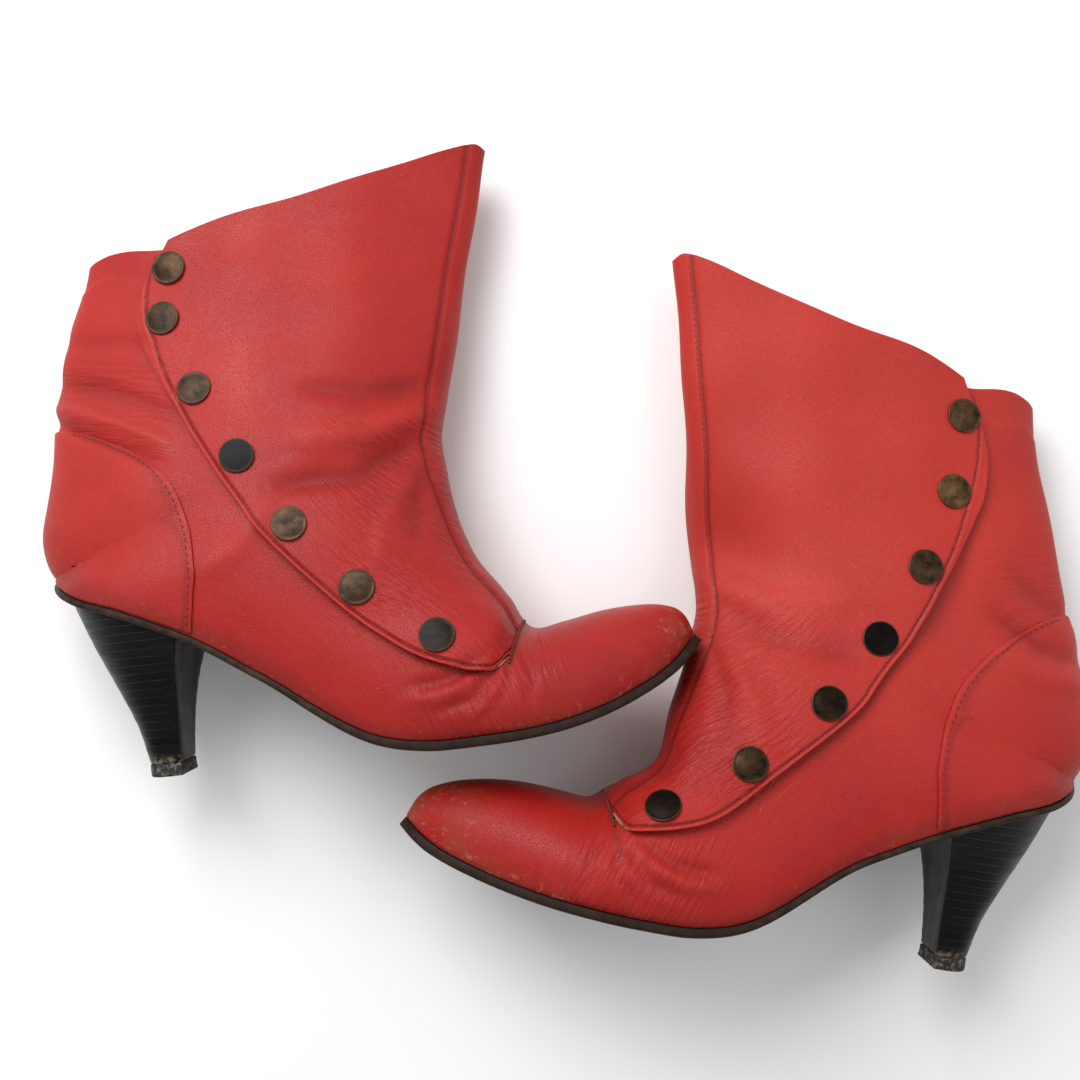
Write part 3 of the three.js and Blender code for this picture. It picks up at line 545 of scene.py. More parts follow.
def heel_stack():
    m = Maker("black_stacked_leather")
    level = m.mask("level")
    drift = m.noise(60, 3, 0.6)
    phase = level * 0.31 + drift * 0.35
    edge = m.node("ShaderNodeMath", {"operation": "FRACT"}, [phase])
    line = m.range(edge, 0.0, 0.07, 1.0, 0.0)
    layer = m.node("ShaderNodeTexWhiteNoise", {"noise_dimensions": "1D"},
                   {"W": m.node("ShaderNodeMath", {"operation": "FLOOR"}, [phase])})
    colour = m.blend(layer, rgb(3, 3, 4), rgb(10, 10, 12))
    colour = m.blend(line * m.range(m.noise(150, 3), 0.35, 0.7), colour, rgb(64, 58, 55))
    colour = m.blend(m.mask("worn") * m.range(m.noise(500, 3), 0.4, 0.65), colour, rgb(128, 112, 98))
    scratch = m.noise(30, 3, 0.7, m.along(m.place(), (1.0, 7.0, 1.0)))
    return m.finish(Base_Color=colour, Roughness=m.range(scratch, 0.3, 0.7, 0.24, 0.46),
                    Normal=m.bump(line * -1.0 + m.noise(420, 3) * 0.5, 0.00018, 0.8),
                    Specular_IOR_Level=0.14)


def heel_breast():
    m = Maker("dark_breast_leather")
    grey = m.noise(50, 4, 0.6)
    colour = m.blend(grey, rgb(24, 22, 22), rgb(44, 40, 39))
    return m.finish(Base_Color=colour, Roughness=m.range(m.noise(160, 3), 0.2, 0.8, 0.4, 0.6),
                    Normal=m.bump(m.noise(700, 2), 0.00008, 0.6))


def heel_rubber():
    m = Maker("scuffed_rubber")
    chips = m.range(m.noise(420, 4, 0.75), 0.5, 0.66)
    colour = m.blend(chips, rgb(20, 19, 20), rgb(120, 108, 98))
    return m.finish(Base_Color=colour, Roughness=0.8, Normal=m.bump(m.noise(500, 4, 0.7), 0.0005, 0.9))


def antique_brass():
    m = Maker("antique_brass")
    tone, rim = m.mask("tone"), m.mask("rim")
    patina = m.range(m.noise(190, 4, 0.65), 0.36, 0.66)
    brown = m.blend(patina, rgb(20, 14, 9), rgb(64, 44, 26))
    bright = m.blend(patina, rgb(44, 32, 19), rgb(108, 80, 50))
    colour = m.blend(m.range(tone, 0.0, 1.0), rgb(4, 3, 4), brown)
    colour = m.blend(m.range(tone, 1.0, 2.0), colour, bright)
    colour = m.blend(rim * 0.4, colour, rgb(120, 90, 62))
    hair = m.noise(26, 3, 0.7, m.along(m.place(), (1.0, 16.0, 1.0)))
    return m.finish(Base_Color=colour, Metallic=0.55, Roughness=m.range(hair, 0.3, 0.7, 0.2, 0.34),
                    Normal=m.bump(hair + m.noise(900, 2) * 0.5, 0.00005, 0.6), Specular_IOR_Level=0.15)


def stud_brass():
    m = Maker("dull_brass")
    colour = m.blend(m.noise(220, 3), rgb(84, 62, 38), rgb(148, 116, 70))
    rough = m.range(m.noise(400, 2), 0.2, 0.8, 0.3, 0.5)
    return m.finish(Base_Color=colour, Metallic=0.9, Roughness=rough)


def plain_metal():
    m = Maker("brushed_spring_steel")
    hair = m.noise(80, 3, 0.7, m.along(m.place(), (1.0, 22.0, 1.0)))
    colour = m.blend(hair, rgb(150, 150, 154), rgb(196, 196, 200))
    return m.finish(Base_Color=colour, Metallic=1.0, Roughness=m.range(hair, 0.2, 0.8, 0.28, 0.46),
                    Normal=m.bump(hair, 0.00005, 0.6))


def leatherboard():
    m = Maker("leatherboard")
    flecks = m.noise(500, 4, 0.7)
    colour = m.blend(flecks, rgb(122, 92, 62), rgb(172, 138, 98))
    return m.finish(Base_Color=colour, Roughness=0.9, Normal=m.bump(flecks, 0.0002, 0.7))


RED, LINING, THREAD = red_leather(), lining_leather(), thread()
SOLE, STACK, BREAST, RUBBER = sole_leather(), heel_stack(), heel_breast(), heel_rubber()
BRASS, STUD, STEEL, BOARD = antique_brass(), stud_brass(), plain_metal(), leatherboard()


# ---------------------------------------------------------------- mesh work

def linked(name, data):
    """A new object in the scene."""
    obj = bpy.data.objects.new(name, data)
    bpy.context.scene.collection.objects.link(obj)
    return obj


def new_object(name, points, faces, *materials, uv=None, masks=None):
    """An object at the origin from points in the row frame. uv and masks are given per point."""
    mesh = bpy.data.meshes.new(name)
    mesh.from_pydata(points.tolist(), [], [list(map(int, f)) for f in faces])
    for material in materials:
        mesh.materials.append(material)
    if uv is not None:
        layer = mesh.uv_layers.new(name="leather")
        loops = np.zeros(len(mesh.loops), int)
        mesh.loops.foreach_get("vertex_index", loops)
        layer.data.foreach_set("uv", uv[loops].astype(np.float32).ravel())
    for key, values in (masks or {}).items():
        mask = mesh.attributes.new(key, "FLOAT", "POINT").data
        mask.foreach_set("value", values.astype(np.float32).ravel())
    return linked(name, mesh)


def plain_mesh(obj, sharp=None):
    """Applies the object's modifiers and shades it smooth, up to the sharp angle in degrees."""
    bpy.context.view_layer.update()
    made = bpy.data.meshes.new_from_object(obj.evaluated_get(bpy.context.evaluated_depsgraph_get()))
    old, obj.data = obj.data, made
    obj.modifiers.clear()
    bpy.data.meshes.remove(old)
    made.polygons.foreach_set("use_smooth", np.ones(len(made.polygons), bool))
    if sharp:
        made.set_sharp_from_angle(angle=math.radians(sharp))
    return obj


def grid_faces(rows, cols, closed=False, keep=None):
    """Quads of a grid of rows x cols points; keep is a mask of its cells."""
    r, c = np.meshgrid(np.arange(rows - 1), np.arange(cols if closed else cols - 1), indexing="ij")
    if keep is not None:
        r, c = r[keep], c[keep]
    r, c = r.ravel(), c.ravel()
    n = (c + 1) % cols
    return np.stack([r * cols + c, (r + 1) * cols + c, (r + 1) * cols + n, r * cols + n], -1)


def facing_out(obj):
    """Turns a closed mesh's faces outwards."""
    work = bmesh.new()
    work.from_mesh(obj.data)
    bmesh.ops.remove_doubles(work, verts=work.verts, dist=1e-7)
    bmesh.ops.recalc_face_normals(work, faces=work.faces)
    work.to_mesh(obj.data)
    work.free()
    return obj


def leather_sheet(skin, name, t, a, out, masks, uv, keep=None, thick=LEATHER, flip=False):
    """A leather panel over a grid of places, given its thickness inwards and rounded edges. flip is for a
    grid whose rows run the other way."""
    points = skin.to_row(skin.point(t, a, out)).reshape(-1, 3)
    points[:, 2] = np.maximum(points[:, 2], LIES_AT)
    faces = grid_faces(*t.shape, keep=keep)
    if (skin.boot["mirror"] < 0) != flip:
        faces = faces[:, ::-1]
    used = np.unique(faces)
    order = np.zeros(len(points), int)
    order[used] = np.arange(len(used))
    masks = {key: np.broadcast_to(value, t.shape).ravel()[used] for key, value in masks.items()}
    obj = new_object(name, points[used], order[faces], RED, LINING, uv=uv.reshape(-1, 2)[used], masks=masks)
    solid = obj.modifiers.new("thickness", "SOLIDIFY")
    solid.thickness, solid.offset, solid.material_offset = thick * MM, -1, 1
    solid.use_even_offset = False
    bevel = obj.modifiers.new("round", "BEVEL")
    bevel.width, bevel.segments, bevel.limit_method = 0.45 * MM, 2, "ANGLE"
    bevel.angle_limit, bevel.material = math.radians(55), 0
    return plain_mesh(obj)


def wrinkle_run(skin, t, a, turn_from=None):
    """Millimetres along and across the fine wrinkles: they slope down forwards round the ankle and over the
    instep, and stand up across the vamp where turn_from gives the x that they begin to stand at."""
    x, y = skin.side_view(t, skin.share_of(t, a))
    slope = mix(0.25, 0.85, smooth(x, 10, 90))
    sides = np.stack([x - slope * y, y + slope * x], -1)
    if turn_from is None:
        return sides
    upright = smooth(x, turn_from, turn_from + 40)[..., None]
    return mix(sides, np.stack([y, x + 0.3 * y], -1), upright)


def wear_and_painted_light_masks(skin, t, a):
    """Where the leather is scuffed and finely creased, from 0 to 1; also where it is paler, with painted
    highlight on the crests of folds, and where it is darker along the sole seam, with painted shade in
    creases and in the throat gap.
    """
    share = skin.share_of(t, a)
    x, y = skin.placed(*skin.side_view(t, share), share)
    pushed = skin.worn(t, a)
    toe = smooth(x, 184, 208) + 0.6 * smooth(x, 120, 190) * (1 - smooth(share, 0.1, 0.35))
    heel = 0.35 * smooth(-x, 18, 34) * (1 - smooth(y, 100, 124))
    sole_line = (1 - smooth(share, 0.02, 0.1)) * (t < BACK_CORNER)
    flex = smooth(x, 88, 118) * (1 - smooth(x, 150, 168)) * (1 - smooth(y, 32, 44))
    ankle = smooth(-x, -45, 5) * smooth(y, 104, 118) * (1 - smooth(y, 156, 180))
    instep = smooth(x, 62, 100) * (1 - smooth(y, 112, 140)) * smooth(y, 40, 58)
    throat_pucker = bell(t, THROAT, 0.5) * (np.abs(a) < 0.62)
    throat_line = bell(t, THROAT, 0.14) * (np.abs(a) < 0.6)
    return {
        "scuffed": np.clip(toe + heel + 0.3 * sole_line, 0, 1),
        "creased": np.clip(0.9 * flex + 0.6 * ankle + instep + 0.8 * throat_pucker + 0.04, 0, 1),
        # paler up the shafts, with painted highlight on the crests of folds
        "paler_and_painted_highlight": np.clip(0.55 * smooth(y, 60, 150) * (skin.side == "left") + 0.15 * smooth(y, 60, 90)
                         + 0.3 * np.clip(pushed, 0, 1), 0, 1),
        # darker along the sole seam, with painted shade in the creases and in the throat gap
        "dark": np.clip(0.55 * sole_line + 0.28 * np.clip(-pushed - 0.4, 0, 1.5) + 0.5 * throat_line, 0, 1),
    }


def upper(skin):
    """Vamp and both quarters as one leather, open under the flap."""
    rows = np.concatenate([np.linspace(0.001, 1, 14)[:-1], np.linspace(1, THROAT, 62)[:-1],
                           np.linspace(THROAT, 13.6, 76)[:-1], np.linspace(13.6, 15.4, 30)[:-1],
                           np.linspace(15.4, LAST, 84)])
    inner, gap, outer = 44, 18, 58
    t = np.repeat(rows[:, None], inner + gap + outer + 1, 1)
    under = skin.a_of(rows, skin.underlap(np.maximum(rows, FLAP_START)))[:, None]
    under = mix(np.full_like(under, 0.3), under, smooth(rows, 5, THROAT)[:, None])
    seam = 1 - 0.002 * smooth(rows, BACK_CORNER - 1, BACK_CORNER)[:, None]
    ease = np.linspace(0, 1, inner + 1)[None, :-1]
    a = np.concatenate([mix(-seam, -INNER_SEAM, ease),
                        mix(-INNER_SEAM, under, np.linspace(0, 1, gap + 1)[None, :-1]),
                        mix(under, seam, np.linspace(0, 1, outer + 1)[None])], 1)
    top_share = skin.share_of(np.full_like(a, LAST), a)
    rises = smooth(top_share, 0.15, 0.6) * (a < 0)  # the inner quarter rises to meet the front panel
    drop = mix(quarter_top(top_share), flap_top(top_share), rises)
    t = t - drop * smooth(t, COLLAR_FROM, LAST)
    keep = np.ones((len(rows) - 1, a.shape[1] - 1), bool)
    keep[np.ix_(rows[:-1] >= THROAT - 1e-6, np.arange(inner, inner + gap))] = False
    below_top = LAST - drop - t
    collar = 0.5 * (smooth(below_top, 0.62, 0.7) - 1) * smooth(t, 18.5, 19.5)
    return leather_sheet(skin, skin.side + "_upper", t, a, collar, wear_and_painted_light_masks(skin, t, a),
                         wrinkle_run(skin, t, a, turn_from=50), keep)


def flap(skin):
    """The front panel and the flap, sewn into one leather that bends along the front."""
    rows = np.concatenate([np.linspace(THROAT + 0.08, 7.4, 16)[:-1], np.linspace(7.4, LAST, 190)])
    front, wide = 34, 84
    fold = skin.a_of(rows, flap_fold(rows))[:, None]
    edge_share = skin.flap_edge(np.maximum(rows, FLAP_START))
    round_tip = 0.16 * (1 - smooth(rows, THROAT + 0.05, 7.3)) ** 2
    edge = skin.a_of(rows, edge_share + round_tip)[:, None]
    f = np.linspace(0, 1, wide + 1)[None]
    f = mix(f, 1 - (1 - f) ** 2.2, 0.55)
    a = np.concatenate([mix(-INNER_SEAM + 0.004, fold, np.linspace(0, 1, front + 1)[None, :-1]),
                        mix(fold, edge, f)], 1)
    t = np.repeat(rows[:, None], a.shape[1], 1)
    drop = flap_top(skin.share_of(np.full_like(a, LAST), a))
    t = t - drop * smooth(t, COLLAR_FROM, LAST)
    share = skin.share_of(t, a)
    span = skin.span(t)
    edge_there = skin.flap_edge(np.maximum(t, FLAP_START)) + round_tip[:, None]
    from_edge = (share - edge_there) * span * 0.92
    from_seam = (share - flap_fold(t)) * span
    outside = a > 0
    out = np.where(a > fold, skin.flap_out(t, a), 0.0)
    out = np.where(a <= fold, skin.flap_out(t, fold) * smooth(a, -0.1, 0.06), out)
    sewn_line = bell(from_edge, 1.6, 0.42)  # the groove inside the turned edge
    out = out + (0.35 * bell(from_edge, 0.5, 0.5) - 0.5 * sewn_line) * outside
    out = out + (0.35 * smooth(from_seam, 0.2, 0.9) - 0.5 * bell(from_seam, 0, 0.5)) * outside
    masks = wear_and_painted_light_masks(skin, t, a)
    # painted shade in the groove inside the turned edge and in the groove along the fold seam
    groove_shade = (0.9 * sewn_line + 0.8 * bell(from_seam, 0, 0.6)) * outside
    masks["dark"] = np.clip(masks["dark"] + groove_shade, 0, 1)
    # paler along the turned edge: painted highlight on the rolled edge
    masks["paler_and_painted_highlight"] = np.clip(masks["paler_and_painted_highlight"] + 0.7 * bell(from_edge, 0.4, 0.6) * outside, 0, 1)
    return leather_sheet(skin, skin.side + "_flap_leather", t, a, out, masks, wrinkle_run(skin, t, a),
                         thick=1.5)


def counter(skin):
    """The cover round the heel."""
    rows, cols = 70, 150
    front = np.linspace(12.08, COUNTER_TOP, rows)[:, None]
    across = np.linspace(-1, 1, cols)[None]
    back = 1 - np.abs(across)
    t = mix(front, np.linspace(BACK_CORNER + 0.02, COUNTER_TOP, rows)[:, None], back)
    edge = skin.a_of(front, counter_edge(front))
    a = np.where(across < 0, -1, 1) * mix(edge, 1, back)
    masks = wear_and_painted_light_masks(skin, t, a)
    masks["creased"] = masks["creased"] * 0.2
    masks["dark"] = np.clip(masks["dark"] + 0.5 * bell(back * 60, 2.2, 0.7), 0, 1)
    out = 1.05 + 0.25 * np.minimum(1, back * 45)
    return leather_sheet(skin, skin.side + "_counter", t, a, out, masks, wrinkle_run(skin, t, a),
                         thick=1.1, flip=True)


def loops_to_solid(name, loops, *materials, masks=None):
    """A closed solid through a stack of loops, with its ends capped from their middles."""
    rows, cols = loops.shape[:2]
    faces = grid_faces(rows, cols, closed=True).tolist()
    points = loops.reshape(-1, 3)
    middles = np.array([loops[0].mean(0), loops[-1].mean(0)])
    points = np.concatenate([points, middles])
    n = rows * cols
    for j in range(cols):
        k = (j + 1) % cols
        faces.append([n, j, k])
        faces.append([n + 1, (rows - 1) * cols + k, (rows - 1) * cols + j])
    masks = {key: np.concatenate([value.ravel(), [value[0].mean(), value[-1].mean()]])
             for key, value in (masks or {}).items()}
    return facing_out(new_object(name, points, faces, *materials, masks=masks))


def outsole(skin):
    """The sole, swept from the toe tip back; its rim bulges and is worn."""
    t = np.concatenate([np.linspace(0, 1, 22)[:-1], np.linspace(1, 13.5, 120)[:-1],
                        np.linspace(13.5, BACK_CORNER - 0.03, 34)])
    middle, down = skin.bottom(t)
    waist = smooth(t, 8, 11)
    thick = mix(SOLE_THICK, WAIST_THICK, waist)
    outer, inner = (skin.edge_half(t, s) + mix(1.0, 0.5, waist) for s in (1, -1))
    ring = []
    profile = [(0.0, 0.0, 0), (0.12, 0.12, 0.3), (0.5, 0.22, 0.6), (0.85, 0.05, 0.2), (1.0, -0.5, 0),
               (1.0, -1.6, 0)]
    for depth, bulge, worn in profile:
        ring.append((SEAT_GAP + depth * thick, outer + bulge, worn * 0.8))
    for side in (0.7, 0.35, 0, -0.35, -0.7):
        ring.append((SEAT_GAP + thick, np.where(side >= 0, outer, inner) * side, 0))
    for depth, bulge, worn in reversed(profile):
        ring.append((SEAT_GAP + depth * thick, -(inner + bulge), worn))
    loops = []
    for depth, z, _ in ring:
        p = middle + down * np.reshape(depth, (-1, 1))
        p[..., 2] = z
        loops.append(p)
    loops = np.stack(loops, 1)
    worn = np.stack([w * (0.35 + 0.65 * waist) for _, _, w in ring], 1)
    obj = loops_to_solid(skin.side + "_sole", skin.to_row(loops), SOLE, masks={"worn": worn})
    return plain_mesh(obj, sharp=50)


heel_back_x = curve_through([[0, -29.5], [0.25, -23.4], [0.5, -16.4], [0.75, -10.4], [1, -7.4]])
heel_front_x = curve_through([[0, 16.5], [0.25, 12.8], [0.5, 10.4], [0.75, 8.7], [1, 7.4]])
heel_half = curve_through([[0, 27.5], [0.25, 20.5], [0.5, 15], [0.75, 11.6], [1, 9.8]])
BREAST_HOLLOW = 2.2
LIFT = 5.0
HEEL_FOOT = LIFT + 0.2  # where the heel block ends, over the lift


def breast_hollow(level, across):
    """How far the heel's front face is hollowed, across its width."""
    return BREAST_HOLLOW * (1 - level) * (1 - smooth(np.abs(across), 0.42, 1))


def seat_y(skin, x):
    """Height of the heel seat, under the sole, at x."""
    t = np.linspace(9, SOLE_END, 400)
    middle, down = skin.bottom(t)
    under = middle + down * (SEAT_GAP + WAIST_THICK + HEEL_GAP)
    return np.interp(np.asarray(x, float), under[::-1, 0], under[::-1, 1])


def heel_ring(level, inset=0.0, sides=56):
    """x and z round a D-shaped section of the heel."""
    back, front = heel_back_x(level) + inset, heel_front_x(level) - inset
    half = heel_half(level) - inset
    angle = np.pi * (np.linspace(0, 1, sides) - 0.5)
    x = mix(front, back, np.abs(np.cos(angle)) ** 0.8)
    z = half * np.sin(angle)
    across = np.linspace(1, -1, 22)[1:-1]
    x = np.concatenate([x, front - breast_hollow(level, across)])
    return x, np.concatenate([z, half * across])


def heel_block(skin):
    """The stacked heel, from its seat down to the lift."""
    levels = np.concatenate([[0, 0.006], np.linspace(0.012, 0.988, 74), [0.994, 1]])
    loops, level_mask, worn = [], [], []
    for level in levels:
        rim = 0.35 * (max(0, 0.012 - level) + max(0, level - 0.988)) / 0.012
        x, z = heel_ring(level, rim + 0.04 * math.sin(level * 61))
        y = mix(seat_y(skin, x), HEEL_FOOT, level)
        loops.append(np.stack([x, y, z], -1))
        level_mask.append(y)
        worn.append(np.full(len(x), float(smooth(level, 0.93, 1))))
    obj = loops_to_solid(skin.side + "_heel", skin.to_row(np.stack(loops)), STACK,
                         masks={"level": np.stack(level_mask), "worn": np.stack(worn)})
    return plain_mesh(obj, sharp=40)


def heel_breast(skin):
    """The leather that covers the heel's front face."""
    rows, cols = 60, 26
    loops = []
    for level in np.linspace(0.02, 0.985, rows):
        across = np.linspace(-1, 1, cols)
        half = heel_half(level) * 0.93
        x = heel_front_x(level) - breast_hollow(level, across) + 0.12
        y = mix(seat_y(skin, x), HEEL_FOOT, level)
        skin_out = 0.7 * (1 - np.abs(across) ** 8)
        face = np.stack([x + skin_out, y, across * half], -1)
        rear = np.stack([x - 0.1, y, across * half], -1)[::-1]
        loops.append(np.concatenate([face, rear]))
    obj = loops_to_solid(skin.side + "_breast", skin.to_row(np.stack(loops)), BREAST)
    return plain_mesh(obj, sharp=50)


def top_lift(skin):
    """The rubber lift that the heel treads on, with a ragged edge."""
    loops = []
    for y, grow in ((LIFT, 0.97), (LIFT - 0.3, 1.0), (3.4, 1.01), (1.6, 1.02), (0.6, 1.02), (0.15, 0.98),
                    (0.0, 0.93)):
        x, z = heel_ring(1.0, -0.1)
        ragged = 1 + 0.012 * np.sin(np.arange(len(x)) * 2.3 + y * 3)
        loops.append(np.stack([x * grow * ragged, np.full(len(x), y), z * grow * ragged], -1))
    obj = loops_to_solid(skin.side + "_lift", skin.to_row(np.stack(loops)), RUBBER)
    return plain_mesh(obj, sharp=40)


# ---------------------------------------------------------------- snaps

# How brassy each cap is: 0 is black, 1 brown and 2 bright.
TONES = {"right": [0.9, 0.7, 0.6, 0.0, 0.9, 0.8, 0.15], "left": [1.4, 1.7, 1.1, 0.1, 0.5, 1.0, 0.25]}
CAP_PROFILE = [  # radius, height above the flap and wear
    (0.0, -0.9, 0), (2.2, -0.9, 0), (2.2, 0.0, 0), (6.3, 0.02, 0), (6.65, 0.12, 0.2), (6.8, 0.4, 0.7),
    (6.75, 0.68, 1), (6.6, 0.84, 0.8), (6.4, 0.86, 0.15), (6.1, 0.82, 0), (5.4, 0.86, 0), (3.9, 1.0, 0),
    (2.0, 1.08, 0), (0.0, 1.1, 0)]


def snap_seat(skin, i):
    """The flap's place nearest the CAD cap's middle, and its normal there, in the row frame."""
    low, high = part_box(f"{skin.side}_snap_cap_{i}")
    middle = np.array((low + high) / 2)
    t, a = np.meshgrid(np.linspace(7, 21.8, 260), np.linspace(0.05, 0.95, 120), indexing="ij")
    places = skin.to_row(skin.point(t, a, skin.flap_out(t, a)))
    k = np.unravel_index(np.argmin(((places - middle) ** 2).sum(-1)), t.shape)
    normal = np.array(skin.matrix.to_3x3()) @ skin.normal(t[k], a[k])
    return places[k], normal / np.linalg.norm(normal)


def snap_caps(skin):
    """The seven caps of a flap, as one piece."""
    sides = 48
    points, faces, tone, rim = [], [], [], []
    for i in SNAPS:
        middle, normal = snap_seat(skin, i)
        turn = np.array(Vector((0, 0, 1)).rotation_difference(Vector(normal)).to_matrix())
        start = sum(len(p) for p in points)
        angle = np.linspace(0, 2 * np.pi, sides, endpoint=False)
        for r, h, worn in CAP_PROFILE[1:-1]:
            ring = np.stack([r * np.cos(angle), r * np.sin(angle), np.full(sides, h + CAP_LIFT)], -1) * MM
            points.append(ring @ turn.T + middle)
            tone.append(np.full(sides, TONES[skin.side][i - 1]))
            rim.append(np.full(sides, worn))
        n = len(CAP_PROFILE) - 2
        faces += (grid_faces(n, sides, closed=True) + start).tolist()
        for _, h, worn in (CAP_PROFILE[0], CAP_PROFILE[-1]):
            points.append((np.array([[0, 0, h + CAP_LIFT]]) * MM) @ turn.T + middle)
            tone.append(np.array([TONES[skin.side][i - 1]]))
            rim.append(np.array([worn]))
        for j in range(sides):
            k = (j + 1) % sides
            last = start + (n - 1) * sides
            faces.append([start + n * sides, start + j, start + k])
            faces.append([start + n * sides + 1, last + k, last + j])
    obj = new_object(skin.side + "_snap_caps", np.concatenate(points), faces, BRASS,
                     masks={"tone": np.concatenate(tone), "rim": np.concatenate(rim)})
    return plain_mesh(facing_out(obj), sharp=60)


# ---------------------------------------------------------------- stitching

def stitch_tree():
    """Geometry Nodes that sew a row of stitches along each line of a mesh."""
    tree = bpy.data.node_groups.new("stitch_row", "GeometryNodeTree")
    add = tree.interface.new_socket
    add("Geometry", in_out="INPUT", socket_type="NodeSocketGeometry")
    for name, value in (("Pitch", 0.003), ("Length", 0.0021), ("Thickness", 0.00055)):
        add(name, in_out="INPUT", socket_type="NodeSocketFloat").default_value = value
    add("Geometry", in_out="OUTPUT", socket_type="NodeSocketGeometry")

    def node(kind, links=(), **settings):
        made = tree.nodes.new(kind)
        for key, value in settings.items():
            setattr(made, key, value)
        for key, value in dict(links).items():
            if isinstance(value, bpy.types.NodeSocket):
                tree.links.new(value, made.inputs[key])
            else:
                made.inputs[key].default_value = value
        return made

    given = node("NodeGroupInput").outputs
    line = node("GeometryNodeMeshToCurve", {"Mesh": given["Geometry"]}).outputs[0]
    places = node("GeometryNodeResampleCurve", {"Curve": line, "Length": given["Pitch"]},
                  mode="LENGTH").outputs[0]
    heading = node("FunctionNodeAlignRotationToVector",
                   {"Vector": node("GeometryNodeInputTangent").outputs[0]}, axis="X").outputs[0]
    ball = node("GeometryNodeMeshUVSphere", {"Segments": 8, "Rings": 6, "Radius": 0.5}).outputs[0]
    size = node("ShaderNodeCombineXYZ", {"X": given["Length"], "Y": given["Thickness"],
                                         "Z": given["Thickness"]}).outputs[0]
    sewn = node("GeometryNodeInstanceOnPoints", {
        "Points": places, "Instance": ball, "Rotation": heading, "Scale": size}).outputs[0]
    real = node("GeometryNodeRealizeInstances", {"Geometry": sewn}).outputs[0]
    coloured = node("GeometryNodeSetMaterial", {"Geometry": real, "Material": THREAD}).outputs[0]
    tree.links.new(coloured, node("NodeGroupOutput").inputs["Geometry"])
    return tree


STITCHING = stitch_tree()


def stitches(name, lines, pitch=2.9, length=2.1, thick=0.5):
    """Rows of stitches along lines of points in the row frame, as one piece."""
    points = np.concatenate(lines)
    edges, start = [], 0
    for line in lines:
        edges += [(start + i, start + i + 1) for i in range(len(line) - 1)]
        start += len(line)
    mesh = bpy.data.meshes.new(name)
    mesh.from_pydata(points.tolist(), edges, [])
    obj = linked(name, mesh)
    modifier = obj.modifiers.new("sewing", "NODES")
    modifier.node_group = STITCHING
    sockets = {s.name: s.identifier for s in STITCHING.interface.items_tree if s.in_out == "INPUT"}
    for key, value in (("Pitch", pitch), ("Length", length), ("Thickness", thick)):
        modifier[sockets[key]] = value * MM
    return plain_mesh(obj)


def sew(skin):
    """The stitch rows of one boot: round the counter, across the throat, and on the flap."""
    side = skin.side
    front = np.linspace(12.25, 18.3, 120)
    body = []
    for hand in (1, -1):
        edge = skin.a_of(front, np.maximum(counter_edge(front) - 2.2 / skin.span(front), 0.0))
        body.append(skin.to_row(skin.point(front, hand * edge, 1.42)))
    sewn = stitches(side + "_stitches", body)
    t = np.linspace(6.95, 21.2, 400)
    share = skin.flap_edge(np.maximum(t, FLAP_START)) + 2.05 / skin.span(t)
    a = skin.a_of(t, np.minimum(share, flap_fold(t) - 0.02))
    lines = [skin.to_row(skin.point(t, a, skin.flap_out(t, a) - 0.2))]
    t = np.linspace(7.4, 21.6, 320)
    a = skin.a_of(t, flap_fold(t) + 1.2 / skin.span(t))
    lines.append(skin.to_row(skin.point(t, a, skin.flap_out(t, a) + 0.12)))
    a = np.linspace(0.02, 0.86 * float(skin.a_of(FLAP_START, skin.flap_edge(FLAP_START))), 60)
    throat = [skin.to_row(skin.point(THROAT - 0.02 + 0.05 * row, a, 0.5 + 0.35 * row)) for row in (0, 1)]
    puckers = stitches(side + "_throat_seam", throat, pitch=1.7, length=1.5, thick=0.95)
    return sewn, puckers, stitches(side + "_flap_stitches", lines, pitch=2.3, length=1.7, thick=0.4)


# ---------------------------------------------------------------- putting the pair together

# The CAD nodes that stay, and their materials.
CARRIED = {"toe_puff": BOARD, "counter_stiffener": BOARD, "insole_board": BOARD, "shank": STEEL,
           "heel_screw": STEEL, "sock_lining": LINING}

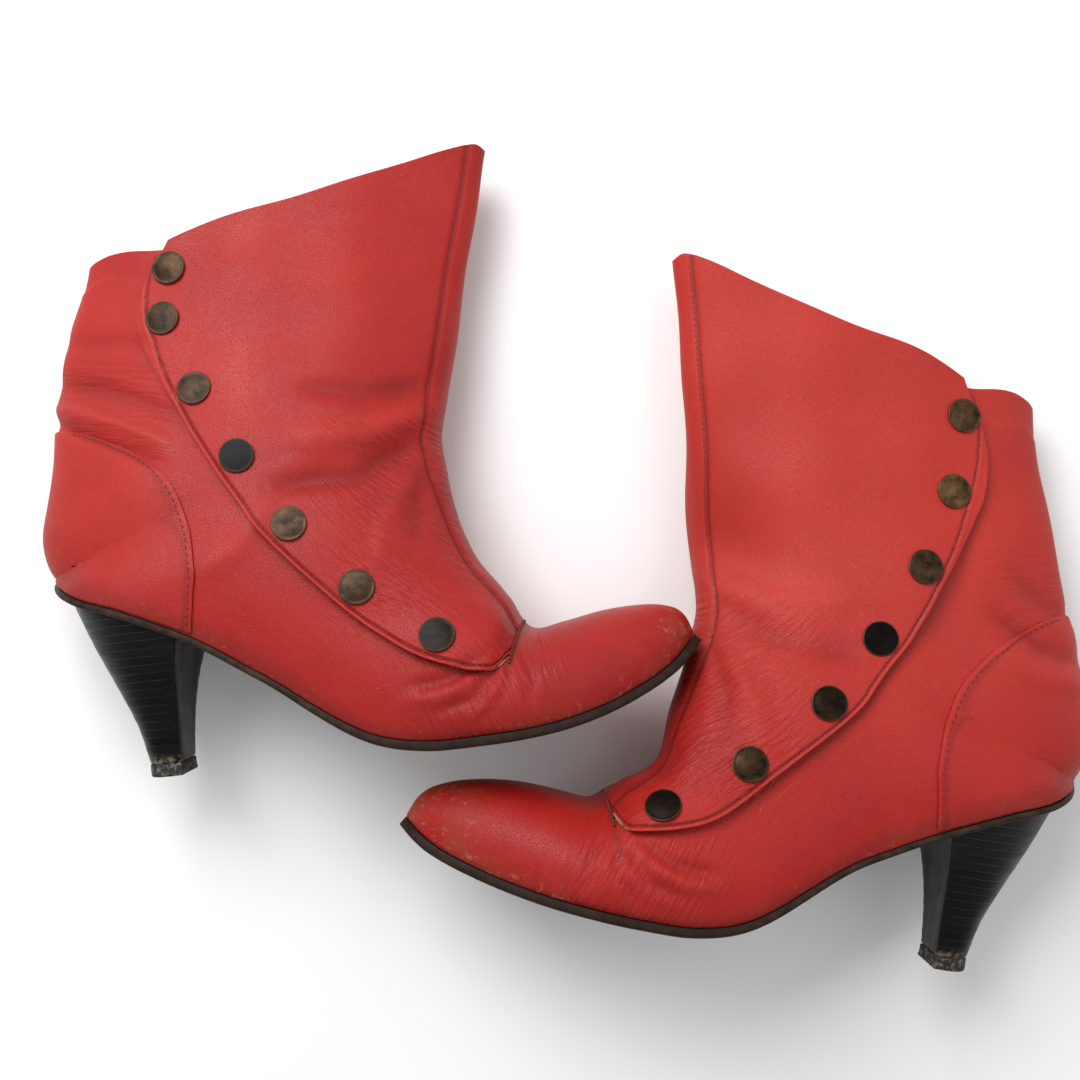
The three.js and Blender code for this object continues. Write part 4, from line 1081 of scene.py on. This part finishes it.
for side in BOOTS:
    skin = Skin(side)
    body, moving = side + "_boot", side + "_flap"

    shell = upper(skin)
    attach(shell, body)
    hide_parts(*(f"{side}_{n}" for n in ("vamp", "outer_quarter", "inner_quarter")))

    ridge = skin.at(np.array(PANEL_HINGE), np.array(0.0))
    front = flap(skin)
    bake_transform(front)
    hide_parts(side + "_front_panel", side + "_flap")

    cover = counter(skin)
    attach(cover, body)
    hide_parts(side + "_counter_cover")

    for make, node, slot in ((outsole, "outsole", "sole_leather"), (heel_block, "heel_block", "heel_stack"),
                             (heel_breast, "heel_breast_cover", "heel_stack"),
                             (top_lift, "top_lift", "heel_rubber")):
        piece = make(skin)
        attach(piece, body)
        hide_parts(f"{side}_{node}")

    caps = snap_caps(skin)
    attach(caps, moving)
    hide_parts(*(f"{side}_snap_cap_{i}" for i in SNAPS))

    sewn, puckers, flap_sewn = sew(skin)
    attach(sewn, body)
    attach(puckers, body)
    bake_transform(flap_sewn)

    for node, material in {**CARRIED, **{f"snap_stud_{i}": STUD for i in SNAPS}}.items():
        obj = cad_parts[f"{side}_{node}"]
        for slot in obj.material_slots:
            slot.material = material

# ---------------------------------------------------------------- floor, light and camera

floor_mesh = bpy.data.meshes.new("floor")
floor_mesh.from_pydata([(-4, -4, 0), (4, -4, 0), (4, 4, 0), (-4, 4, 0)], [], [(0, 1, 2, 3)])
floor = linked("floor", floor_mesh)
paper = Maker("white_paper")
floor_mesh.materials.append(paper.finish(Base_Color=(0.9, 0.9, 0.9, 1), Roughness=0.9))
floor.location.z = cad_low[2] - 0.0004

world = bpy.data.worlds.new("studio")
bpy.context.scene.world = world
world.use_nodes = True
world.node_tree.nodes["Background"].inputs["Color"].default_value = (1, 1, 1, 1)
world.node_tree.nodes["Background"].inputs["Strength"].default_value = 0.5


def lamp(name, place, size, power):
    """A square lamp that faces the middle of the pair."""
    light = bpy.data.lights.new(name, "AREA")
    light.size, light.energy = size, power
    obj = linked(name, light)
    obj.location = place
    obj.rotation_euler = (Vector((0, 0, 0.03)) - Vector(place)).to_track_quat("-Z", "Y").to_euler()


lamp("key", (-0.45, 0.75, 0.95), 0.8, 17)
lamp("fill", (0.8, 0.2, 1.2), 0.9, 3)

LENS = 54.7
CAMERA_HEIGHT = 0.685  # in metres; it looks straight down
ASIDE = (-0.0100, 0.0057)  # in metres, from over the pair's middle

centre = (Vector(cad_low) + Vector(cad_high)) / 2
camera = linked("camera", bpy.data.cameras.new("camera"))
camera.data.lens = LENS
camera.location = (centre.x + ASIDE[0], centre.y + ASIDE[1], CAMERA_HEIGHT)
bpy.context.scene.camera = camera
bpy.context.scene.view_settings.view_transform = "Standard"
